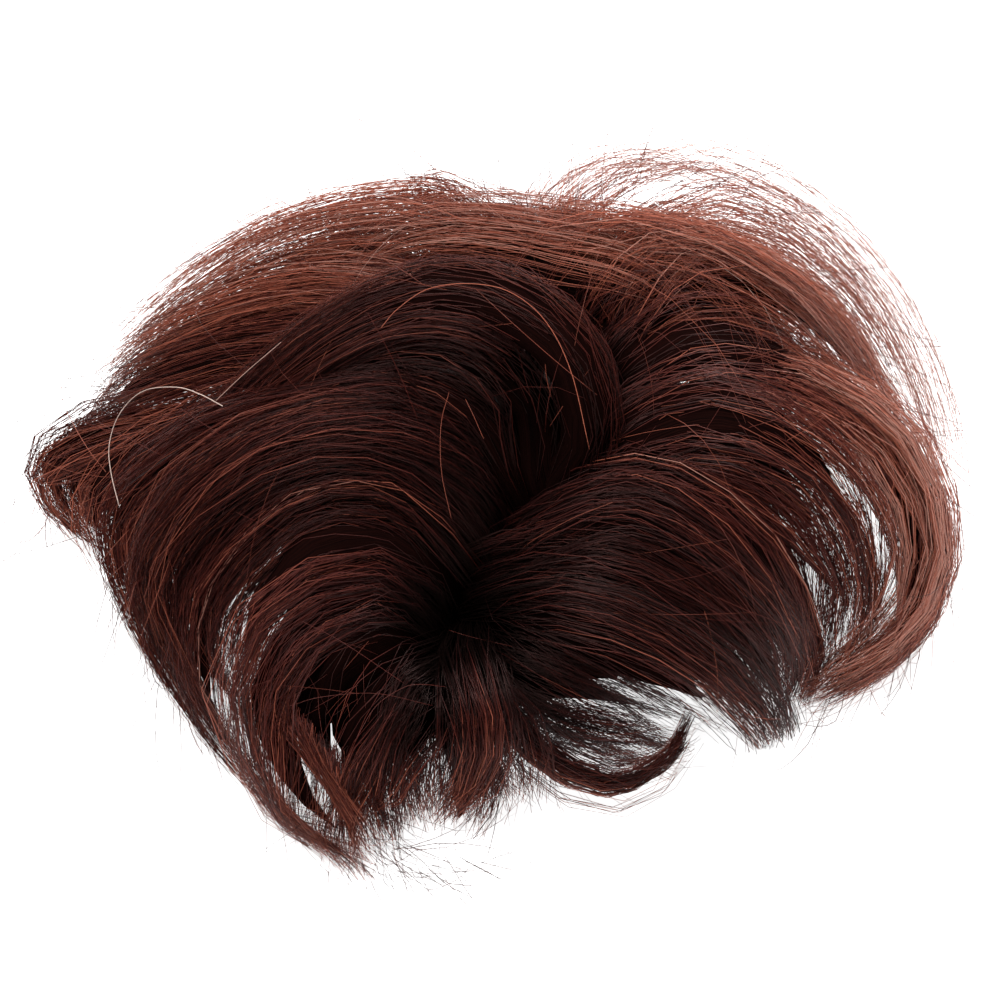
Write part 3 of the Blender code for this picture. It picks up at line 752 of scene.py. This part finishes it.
def waves(rng, count, way):
    """Smooth wandering, from nothing at the root, for each of count hairs along its way."""
    pace = rng.uniform(0.4, 1.5, (count, 1))
    start = rng.uniform(0, 2 * np.pi, (count, 1))
    return np.sin(2 * np.pi * pace * way + start) - np.sin(start)


def painted_gloom(points):
    """How much painted shade darkens each point for the hollows near it."""
    total = 0.0
    for hollow in HOLLOWS:
        heart = np.array(tuple(in_space(hollow.across, hollow.up, hollow.height)))
        far = np.linalg.norm(points - heart, axis=-1) / (hollow.reach * MM)
        total = total + hollow.depth * np.exp(-far ** 2)
    return total


def in_picture(points):
    """Where a viewer sees each point, as its across and up in mm."""
    local = (points - np.array(tuple(LAYOUT_CENTRE))) / MM
    return local[..., 0], local[..., 1] * math.sin(VIEW_ELEVATION) + local[..., 2] * math.cos(VIEW_ELEVATION)


def part_at_slits(paths):
    """The paths moved aside, square to the view, until each slit is open."""
    paths = paths.copy()
    for slit in SLITS:
        across, up = in_picture(paths)
        c, s = math.cos(math.radians(slit.angle)), math.sin(math.radians(slit.angle))
        along = (across - slit.across) * c + (up - slit.up) * s
        aside = (up - slit.up) * c - (across - slit.across) * s
        room = slit.wide * np.maximum(0, 1 - (along / slit.long) ** 2)
        push = np.where(np.abs(aside) < 2 * room, np.sign(aside) * (room - np.abs(aside) / 2), 0) * MM
        paths[..., 0] -= push * s
        paths[..., 1] += push * c * math.sin(VIEW_ELEVATION)
        paths[..., 2] += push * c * math.cos(VIEW_ELEVATION)
    return paths


def past_clearings(bunch, paths, rng):
    """For each hair, the share of its stations that it skips so that it starts past its bunch's clearings."""
    across, up = in_picture(paths)
    inside = np.zeros(paths.shape[:2], bool)
    for clearing in CLEARINGS:
        if clearing.bunch == bunch:
            inside |= np.hypot(across - clearing.across, up - clearing.up) < clearing.radius
    stations = paths.shape[1]
    last = np.where(inside.any(axis=1), stations - np.argmax(inside[:, ::-1], axis=1), 0)
    last[rng.random(len(paths)) < CROSSING] = 0
    return last / (stations - 1)


def cut_back(values, skipped):
    """Values at a hair's stations, read again over what is left of it."""
    stations = values.shape[1]
    spot = (skipped[:, None] + (1 - skipped[:, None]) * np.linspace(0, 1, stations)) * (stations - 1)
    low = np.clip(spot.astype(int), 0, stations - 2)
    part = spot - low
    if values.ndim == 3:
        part = part[..., None]
    hair = np.arange(len(values))[:, None]
    return values[hair, low] * (1 - part) + values[hair, low + 1] * part


def flow_batch(flow, settings, rng):
    """The hairs of one flow, gathered in wisps that wander together."""
    count = max(3, round(flow.hairs * settings.fullness))
    wisps = flow.wisps
    mine = rng.integers(0, wisps, count)
    loose = flow.loose
    # Each wisp's place across the guides, round the section, and how both drift on the way
    wisp_across = rng.random((wisps, 1))
    wisp_turn = rng.uniform(-0.08, 1.08, (wisps, 1)) * np.pi
    wisp_depth = rng.uniform(0.62, 1.12, (wisps, 1))
    wisp_drift = rng.normal(0, 0.14, (wisps, 1)) * loose
    wisp_twist = rng.normal(0, 0.5, (wisps, 1)) * loose
    wisp_tight = rng.uniform(0.45, 1.6, (wisps, 1))
    wisp_tone = rng.normal(0, 1, (wisps, 1))
    wisp_tip = rng.uniform(0.0, 1.0, (wisps, 1))
    share = np.linspace(0, 1, flow.stations)[None, :]
    # Roots and tips don't line up, and the tips of a wisp end near each other
    start = rng.uniform(0, 0.06, (count, 1))
    end = flow.tip + (1 - flow.tip) * (0.5 * wisp_tip[mine] + 0.5 * rng.random((count, 1)))
    way = start + (end - start) * share
    tight = wisp_tight[mine] * (1 - 0.45 * ease((way - 0.55) / 0.45))
    across = wisp_across[mine] + wisp_drift[mine] * way + rng.normal(0, 0.05, (count, 1)) * tight
    if flow.start is not None:
        across = flow.start + (across - flow.start) * ease(0.12 + way / 0.5)
    centre, out, side, wide, deep = read_guides(flow.guides, across, way)
    turn = wisp_turn[mine] + rng.normal(0, 0.2, (count, 1)) * tight
    turn = turn + (wisp_twist[mine] + rng.normal(0, 0.15, (count, 1))) * (way - 0.3)
    # One hair in five leaves its wisp
    leaving = (rng.random((count, 1)) < 0.2) * rng.normal(0, 1, (count, 1)) * loose * (way - 0.3)
    turn = turn + 0.7 * leaving
    depth = wisp_depth[mine] + rng.normal(0, 0.09, (count, 1)) * tight
    filled = flow.cover * (0.45 + 0.55 * ease(way / 0.3))
    narrow = 1.0 if len(flow.guides) == 1 else SHARED_WIDTH
    sideways = np.cos(turn) * depth * filled * wide * narrow
    outwards = np.sin(turn) * depth * filled * deep
    # Hairs wander in waves, with their wisp and alone, and one in seventeen bows out far
    free = ease(way / 0.35) * MM * loose
    own = rng.uniform(0.1, 0.4, (count, 1)) + 1.8 * (rng.random((count, 1)) < 0.06)
    sideways = sideways + free * (waves(rng, wisps, share)[mine] * 1.3 + waves(rng, count, way) * own)
    outwards = outwards + free * (waves(rng, wisps, share)[mine] * 0.7
                                  + waves(rng, count, way) * own * 0.6)
    sideways = sideways + rng.normal(0, 1.2, (count, 1)) * MM * loose * ease((way - end + 0.2) / 0.2) ** 2
    paths = centre + side * sideways[..., None] + out * outwards[..., None]
    paths = part_at_slits(paths)
    paths[..., 2] = np.maximum(paths[..., 2], TABLE_CLEARANCE)
    # A hair is thinnest at its tip; its tone is darkest at its root as painted shade and lighter towards its
    # tip as painted light, and one in twenty shines with a painted highlight along its length
    thick = settings.fibre_radius * flow.thin * rng.uniform(0.7, 1.2, (count, 1)) * (1 - 0.5 * share ** 3)
    tone = np.interp(way, (0.04, 0.42, 1.0), (0.02, flow.tone, flow.tip_tone))
    painted_shine = (rng.random((count, 1)) < 0.05) * rng.uniform(0.1, 0.25, (count, 1)) * ease(way / 0.4)
    varied = 0.6 * wisp_tone[mine] + 0.95 * rng.normal(0, 1, (count, 1))
    # Painted shade: hairs set deeper in their lock get a darker tone
    tone = tone + flow.contrast * varied * ease(way / 0.25) + 0.25 * (depth - 0.95) + painted_shine
    tone = np.minimum(tone, LIGHTEST)
    skipped = past_clearings(flow.bunch, paths, rng)
    stays = skipped < LONGEST_CUT
    # Painted shade of the hollows is taken off each hair's tone here
    return [cut_back(values[stays], skipped[stays]) for values in (paths, out, thick, tone - painted_gloom(paths))]


def arcs(begin, heading, bending, length, radius, stations):
    """Arcs of circles that begin at a point with a heading and bend towards another direction."""
    reach = length[:, None, None] * np.linspace(0, 1, stations)[None, :, None]
    turn = reach / radius[:, None, None]
    return (begin[:, None, :] + heading[:, None, :] * np.sin(turn) * radius[:, None, None]
            + bending[:, None, :] * (1 - np.cos(turn)) * radius[:, None, None])


def stray_batch(stray, settings, rng):
    """Single hairs that leave their lock in arcs of their own."""
    count = max(2, round(stray.hairs * settings.fullness))
    way = rng.uniform(stray.low, stray.high, (count, 1))
    across = rng.random((count, 1))
    narrow = 1.0 if len(stray.guides) == 1 else SHARED_WIDTH
    centre, out, side, wide, deep = [field[:, 0] for field in read_guides(stray.guides, across, way)]
    turn = rng.uniform(0, np.pi, count)
    outward = unit(side * (np.cos(turn) * wide * narrow)[:, None] + out * (np.sin(turn) * deep)[:, None])
    begin = (centre + side * (np.cos(turn) * wide * narrow * 0.9)[:, None]
             + out * (np.sin(turn) * deep * 0.9)[:, None])
    along = np.cross(out, side)
    aside = np.cross(along, outward)
    heading = unit(along + aside * rng.normal(0, stray.spread, (count, 1))
                   + outward * np.abs(rng.normal(0, stray.lift, (count, 1))))
    bending = square_to(-outward + aside * rng.normal(0, 1.0, (count, 1)) * stray.spread
                        + outward * rng.uniform(0, 1.2, (count, 1)) * stray.lift, heading)
    length = (stray.shortest + (stray.longest - stray.shortest) * rng.random(count) ** 1.5) * MM
    radius = rng.uniform(14, 50, count) * MM
    low, high = [np.array(tuple(corner)) for corner in CAD_BOX]
    # A hair that would reach too far is made shorter, a quarter at a time
    for _ in range(8):
        paths = arcs(begin, heading, bending, length, radius, STRAY_STATIONS)
        past = (paths > high + FLYAWAY_ROOM) | (paths < low - (FLYAWAY_ROOM, FLYAWAY_ROOM, 1))
        length = np.where(past.any(axis=(1, 2)), 0.75 * length, length)
    paths[..., 2] = np.maximum(paths[..., 2], TABLE_CLEARANCE)
    thick = settings.fibre_radius * stray.thin * rng.uniform(0.7, 1.2, (count, 1))
    thick = thick * (1 - 0.5 * np.linspace(0, 1, STRAY_STATIONS)[None, :] ** 2)
    tone = stray.tone + rng.normal(0, 0.1, (count, 1)) + np.zeros((count, STRAY_STATIONS))
    return paths, np.repeat(outward[:, None, :], STRAY_STATIONS, axis=1), thick, tone


def strand_batch(strand, settings):
    """One hair that the photo shows by itself."""
    route = smooth_curve(np.array([tuple(in_space(*p)) for p in strand.route]))
    path = route[np.linspace(0, len(route) - 1, 5 * len(strand.route)).astype(int)][None]
    up = np.zeros_like(path) + np.array([0.2, -0.5, 0.8])
    thick = np.full(path.shape[:2], settings.fibre_radius * strand.thin)
    return path, up, thick, np.full(path.shape[:2], strand.tone)


def finished_mesh(name, bm):
    """A smooth mesh with its faces outward, from a bmesh that ends here."""
    bmesh.ops.recalc_face_normals(bm, faces=bm.faces)
    mesh = bpy.data.meshes.new(name)
    bm.to_mesh(mesh)
    bm.free()
    mesh.shade_smooth()
    return mesh


def turned_mesh(name, outline):
    """A closed outline of (radius, height) turned once round the band's axis."""
    bm = bmesh.new()
    corners = [bm.verts.new(on_band(0, radius, height)) for radius, height in outline]
    sides = [bm.edges.new((a, b)) for a, b in zip(corners, corners[1:] + corners[:1])]
    bmesh.ops.spin(bm, geom=corners + sides, cent=BAND_CENTRE, axis=(0, 0, 1), angle=2 * math.pi,
                   steps=TURN_STEPS, use_merge=True)
    return finished_mesh(name, bm)


def core_mesh(name, cores):
    """Dark ridged cores that fill the locks under their hairs, from (guide, width, fill, end) of each, with
    the painted shade of the hollows kept in their light attribute.
    """
    rng = np.random.default_rng(11)
    bm = bmesh.new()
    grain = bm.verts.layers.float_vector.new("grain")
    light = bm.verts.layers.float.new("light")
    for guide, width, fill, end in cores:
        ridge = rng.uniform(0.86, 1.06, CORE_SIDES)
        drift = rng.normal(0, 0.02, CORE_SIDES)
        previous = None
        for step in range(CORE_RINGS):
            way = step / (CORE_RINGS - 1)
            row = guide[round(way * end * (GUIDE_STATIONS - 1))]
            centre, out, side = Vector(row[0:3]), Vector(row[3:6]), Vector(row[6:9])
            shrink = fill * max(0.04, min(1.0, (1 - way) / (1 - CORE_TAPER)) ** 0.7)
            circle = bmesh.ops.create_circle(bm, segments=CORE_SIDES, radius=1.0,
                                             cap_ends=step in (0, CORE_RINGS - 1))["verts"]
            for k, vert in enumerate(circle):
                turn = math.atan2(vert.co.y, vert.co.x)
                bulge = shrink * (ridge[k] + drift[k] * math.sin(9 * way + k))
                spot = (centre + side * (math.cos(turn) * row[9] * bulge)
                        + out * (math.sin(turn) * row[10] * bulge))
                vert.co = (spot.x, spot.y, max(spot.z, 2 * TABLE_CLEARANCE))
                vert[grain] = (math.cos(turn) * width, math.sin(turn) * width, way * 3)
                # Painted shade: the core's colour is darkened near the hollows
                vert[light] = max(0.05, 1 - 2.5 * float(painted_gloom(np.array(tuple(spot)))))
            edges = list({edge for vert in circle for edge in vert.link_edges})
            if previous:
                bmesh.ops.bridge_loops(bm, edges=previous + edges)
            previous = edges
    return finished_mesh(name, bm)


# Materials

def fibre_material():
    """Permed human hair: a cuticle that shines along each curl, and red light through loose hairs."""
    settings = bpy.context.scene.hair_settings
    made, tree = new_material("permed human hair")
    tone = add_node(tree, "ShaderNodeAttribute", attribute_name="tone")
    ramp = add_node(tree, "ShaderNodeValToRGB", {"Fac": tone.outputs["Fac"]})
    stops = ramp.color_ramp.elements
    stops[1].color = (*settings.pale_colour, 1)
    stops[0].color = (*settings.deep_colour, 1)
    for place, colour in ((0.3, settings.dark_colour), (0.55, settings.middle_colour),
                          (0.85, settings.light_colour)):
        stops.new(place).color = (*colour, 1)
    shader = add_node(tree, "ShaderNodeBsdfPrincipled",
                      {"Base Color": ramp.outputs["Color"], "Roughness": 0.36, "IOR": 1.55,
                       "Specular IOR Level": 0.28, "Specular Tint": srgb("ffcbc4")})
    glow = add_node(tree, "ShaderNodeBsdfTranslucent", {"Color": ramp.outputs["Color"]})
    mixed = add_node(tree, "ShaderNodeMixShader",
                     {"Fac": settings.glow, 1: shader.outputs["BSDF"], 2: glow.outputs["BSDF"]})
    add_node(tree, "ShaderNodeOutputMaterial", {"Surface": mixed.outputs["Shader"]})
    return made


def core_material():
    """Packed human hair seen deep in a lock: nearly black as painted shade for the depth of the lock,
    streaked along its length.
    """
    made, tree = new_material("packed human hair in painted shade")
    grain = add_node(tree, "ShaderNodeAttribute", attribute_name="grain")
    streaks = add_node(tree, "ShaderNodeTexNoise",
                       {"Vector": grain.outputs["Vector"], "Scale": 1.6, "Detail": 6.0})
    ramp = add_node(tree, "ShaderNodeValToRGB", {"Fac": streaks.outputs["Fac"]})
    ramp.color_ramp.elements[0].position = 0.35
    ramp.color_ramp.elements[0].color = srgb("0b0606")
    ramp.color_ramp.elements[1].position = 0.75
    ramp.color_ramp.elements[1].color = srgb("26100d")
    # Painted shade: the colour is scaled down by the light attribute near the hollows
    light = add_node(tree, "ShaderNodeAttribute", attribute_name="light")
    colour = add_node(tree, "ShaderNodeVectorMath", {0: ramp.outputs["Color"]}, operation="SCALE")
    tree.links.new(light.outputs["Fac"], colour.inputs["Scale"])
    bump = add_node(tree, "ShaderNodeBump",
                    {"Height": streaks.outputs["Fac"], "Strength": 0.6, "Distance": 0.6 * MM})
    shader = add_node(tree, "ShaderNodeBsdfPrincipled",
                      {"Base Color": colour.outputs["Vector"], "Roughness": 0.9, "Specular IOR Level": 0.0,
                       "Normal": bump.outputs["Normal"]})
    add_node(tree, "ShaderNodeOutputMaterial", {"Surface": shader.outputs["BSDF"]})
    return made


def elastic_material():
    """Knitted polyester over rubber threads: matt black with a fine rib."""
    settings = bpy.context.scene.band_settings
    made, tree = new_material("knitted elastic")
    place = add_node(tree, "ShaderNodeTexCoord")
    weave = add_node(tree, "ShaderNodeTexWave",
                     {"Vector": place.outputs["Object"], "Scale": 1 / (1.2 * MM) / 6.283, "Distortion": 1.5,
                      "Detail": 2.0}, wave_type="RINGS", rings_direction="SPHERICAL")
    bump = add_node(tree, "ShaderNodeBump",
                    {"Height": weave.outputs["Fac"], "Strength": 0.5, "Distance": 0.3 * MM})
    shader = add_node(tree, "ShaderNodeBsdfPrincipled",
                      {"Base Color": (*settings.band_colour, 1), "Roughness": 0.85,
                       "Normal": bump.outputs["Normal"]})
    add_node(tree, "ShaderNodeOutputMaterial", {"Surface": shader.outputs["BSDF"]})
    return made


def floor_material():
    """White acrylic table lit until it is pure white, as in a catalogue picture."""
    made, tree = new_material("lit white acrylic")
    shader = add_node(tree, "ShaderNodeBsdfPrincipled",
                      {"Base Color": srgb("f4f4f4"), "Roughness": 0.6, "Emission Color": srgb("ffffff"),
                       "Emission Strength": 0.9})
    add_node(tree, "ShaderNodeOutputMaterial", {"Surface": shader.outputs["BSDF"]})
    made.cycles.emission_sampling = "NONE"
    return made


# Operators

class HAIRPIECE_OT_band(bpy.types.Operator):
    """Turns the ribbed elastic band that the wearer's own knot goes through"""
    bl_idname = "hairpiece.band"
    bl_label = "Elastic Band"

    def execute(self, context):
        settings = context.scene.band_settings
        soft = 1.0 * MM
        low, high = BAND_INNER + soft, BAND_OUTER - soft
        face = [(low + (high - low) * step / RIB_STEPS, settings.rib_depth * (step % 2))
                for step in range(RIB_STEPS + 1)]
        flank = [(0.15, 0), (0.5, settings.rib_depth), (0.85, 0)]
        outline = face + [(BAND_OUTER - groove, BAND_TOP * share) for share, groove in flank]
        outline += [(radius, BAND_TOP - groove) for radius, groove in reversed(face)]
        outline += [(BAND_INNER + groove, BAND_TOP * share) for share, groove in reversed(flank)]
        add_object("ribbed_band", turned_mesh("ribbed_band", outline), elastic_material(), "elastic_band")
        return {"FINISHED"}


class HAIRPIECE_OT_weft(bpy.types.Operator):
    """Sews the weft round the band: a bound ring with turns of thread over it"""
    bl_idname = "hairpiece.weft"
    bl_label = "Sewn Weft"

    def execute(self, context):
        settings = context.scene.band_settings
        inset = 0.5 * MM
        wall = BAND_OUTER + 0.4 * MM
        ledge = BAND_TOP + 0.4 * MM
        section = ((wall, WEFT_BOTTOM + inset), (WEFT_OUTER - 2 * MM, WEFT_BOTTOM + inset),
                   (WEFT_OUTER - inset, WEFT_BOTTOM + 2 * MM), (WEFT_OUTER - inset, WEFT_TOP - 3 * MM),
                   (WEFT_OUTER - 3 * MM, WEFT_TOP - inset), (WEFT_INNER + 2 * MM, WEFT_TOP - inset),
                   (WEFT_INNER + inset, WEFT_TOP - 2 * MM), (WEFT_INNER + inset, ledge), (wall, ledge))
        add_object("weft_binding", turned_mesh("weft_binding", section), core_material(), "crown_curls",
                   stands_for=False)
        rng = np.random.default_rng(3)
        rise = np.array(section[1:8])
        paths = []
        for k in range(settings.wrap_count):
            angle = 360 * (k + rng.uniform(-0.2, 0.2)) / settings.wrap_count
            lean = rng.uniform(1.0, 3.0)
            spots = [on_band(angle + lean * i / (len(rise) - 1), radius, height)
                     for i, (radius, height) in enumerate(rise)]
            paths.append([tuple(spot) for spot in spots])
        paths = np.array(paths)
        refs = unit(paths - np.array([BAND_CENTRE.x, BAND_CENTRE.y, 0.008]))
        radii = np.full(paths.shape[:2], WRAP_RADIUS)
        tone = np.broadcast_to(rng.uniform(0.1, 0.35, (len(paths), 1)), paths.shape[:2])
        wraps = tube_mesh("weft_stitches", [(paths, refs, radii, tone)])
        add_object("weft_stitches", wraps, bpy.data.materials["permed human hair"], "crown_curls",
                   stands_for=False)
        return {"FINISHED"}


class HAIRPIECE_OT_cores(bpy.types.Operator):
    """Lofts the dark cores under the outer hairs of each bunch"""
    bl_idname = "hairpiece.cores"
    bl_label = "Lock Cores"

    def execute(self, context):
        material = core_material()
        for bunch in sorted({lock.bunch for lock in LOCKS}):
            cores = [(GUIDES[lock.name], lock.width, lock.core, CORE_END) for lock in LOCKS
                     if lock.bunch == bunch and lock.core]
            for b in BETWEENS:
                if b.bunch == bunch:
                    guide = GUIDES[b.first] * (1 - b.share) + GUIDES[b.second] * b.share
                    cores.append((guide, BETWEEN_WIDTH, b.core, b.end))
            name = bunch.replace("_curls", "_cores")
            add_object(name, core_mesh(name, cores), material, bunch)
        return {"FINISHED"}


class HAIRPIECE_OT_hair(bpy.types.Operator):
    """Grows the fine hairs of every bunch along its curls"""
    bl_idname = "hairpiece.hair"
    bl_label = "Hair"

    def execute(self, context):
        settings = context.scene.hair_settings
        material = fibre_material()
        rng = np.random.default_rng(settings.seed)
        for bunch in sorted({flow.bunch for flow in FLOWS}):
            batches = [flow_batch(flow, settings, rng) for flow in FLOWS if flow.bunch == bunch]
            batches += [stray_batch(stray, settings, rng) for stray in STRAYS if stray.bunch == bunch]
            batches += [strand_batch(strand, settings) for strand in STRANDS if strand.bunch == bunch]
            name = bunch.replace("_curls", "_hair")
            mesh = tube_mesh(name, batches)
            add_object(name, mesh, material, bunch)
        return {"FINISHED"}


class HAIRPIECE_OT_stage(bpy.types.Operator):
    """Sets the white table, the soft lights and the camera at the catalogue angle"""
    bl_idname = "hairpiece.stage"
    bl_label = "Stage"

    def execute(self, context):
        settings = context.scene.stage_settings
        bm = bmesh.new()
        bmesh.ops.create_circle(bm, cap_ends=True, segments=TURN_STEPS, radius=TABLE_RADIUS)
        mesh = bpy.data.meshes.new("table")
        bm.to_mesh(mesh)
        bm.free()
        table = bpy.data.objects.new("table", mesh)
        mesh.materials.append(floor_material())
        context.scene.collection.objects.link(table)

        world = bpy.data.worlds.new("white room")
        world.use_nodes = True
        world.node_tree.nodes["Background"].inputs["Color"].default_value = srgb("ffffff")
        world.node_tree.nodes["Background"].inputs["Strength"].default_value = 0.28
        world.cycles.sampling_method = "NONE"
        context.scene.world = world
        # The hair is too dark for light to matter after a few bounces
        context.scene.cycles.max_bounces = 2
        # Spatial splits make a faster tree of long thin hairs
        context.scene.cycles.debug_use_spatial_splits = True
        # Two lamps need no tree of lights
        context.scene.cycles.use_light_tree = False
        context.scene.view_settings.view_transform = "Standard"

        aim = LAYOUT_CENTRE.copy()
        for name, place, size, share in LAMPS:
            light = bpy.data.lights.new(name, "AREA")
            light.size = size
            light.energy = settings.key_power * share
            lamp = bpy.data.objects.new(name, light)
            lamp.location = aim + Vector(place)
            lamp.rotation_euler = (-Vector(place)).to_track_quat("-Z", "Y").to_euler()
            context.scene.collection.objects.link(lamp)

        camera = bpy.data.cameras.new("camera")
        camera.sensor_width = 36
        camera.lens = camera.sensor_width * settings.camera_distance / settings.picture_width
        camera.clip_end = 20
        eye = bpy.data.objects.new("camera", camera)
        look = Vector((0, math.cos(VIEW_ELEVATION), -math.sin(VIEW_ELEVATION)))
        eye.location = aim - look * settings.camera_distance
        eye.rotation_euler = look.to_track_quat("-Z", "Y").to_euler()
        context.scene.collection.objects.link(eye)
        context.scene.camera = eye
        return {"FINISHED"}


class HAIRPIECE_PT_panel(bpy.types.Panel):
    """Lists the hairpiece's pieces and settings"""
    bl_idname = "HAIRPIECE_PT_panel"
    bl_label = "Top Knot Hairpiece"
    bl_space_type = "VIEW_3D"
    bl_region_type = "UI"
    bl_category = "Hairpiece"

    def draw(self, context):
        layout = self.layout
        for group in ("hair_settings", "band_settings", "stage_settings"):
            settings = getattr(context.scene, group)
            box = layout.box()
            for name in settings.__annotations__:
                box.prop(settings, name)
        for operator in OPERATORS:
            layout.operator(operator.bl_idname)


OPERATORS = (HAIRPIECE_OT_band, HAIRPIECE_OT_hair, HAIRPIECE_OT_weft, HAIRPIECE_OT_cores, HAIRPIECE_OT_stage)
CLASSES = (HairSettings, BandSettings, StageSettings) + OPERATORS + (HAIRPIECE_PT_panel,)


def register():
    for cls in CLASSES:
        bpy.utils.register_class(cls)
    bpy.types.Scene.hair_settings = PointerProperty(type=HairSettings)
    bpy.types.Scene.band_settings = PointerProperty(type=BandSettings)
    bpy.types.Scene.stage_settings = PointerProperty(type=StageSettings)


def unregister():
    del bpy.types.Scene.stage_settings
    del bpy.types.Scene.band_settings
    del bpy.types.Scene.hair_settings
    for cls in reversed(CLASSES):
        bpy.utils.unregister_class(cls)


def main():
    register()
    bpy.ops.hairpiece.band()
    bpy.ops.hairpiece.hair()
    bpy.ops.hairpiece.weft()
    bpy.ops.hairpiece.cores()
    bpy.ops.hairpiece.stage()


if __name__ == "__main__":
    main()
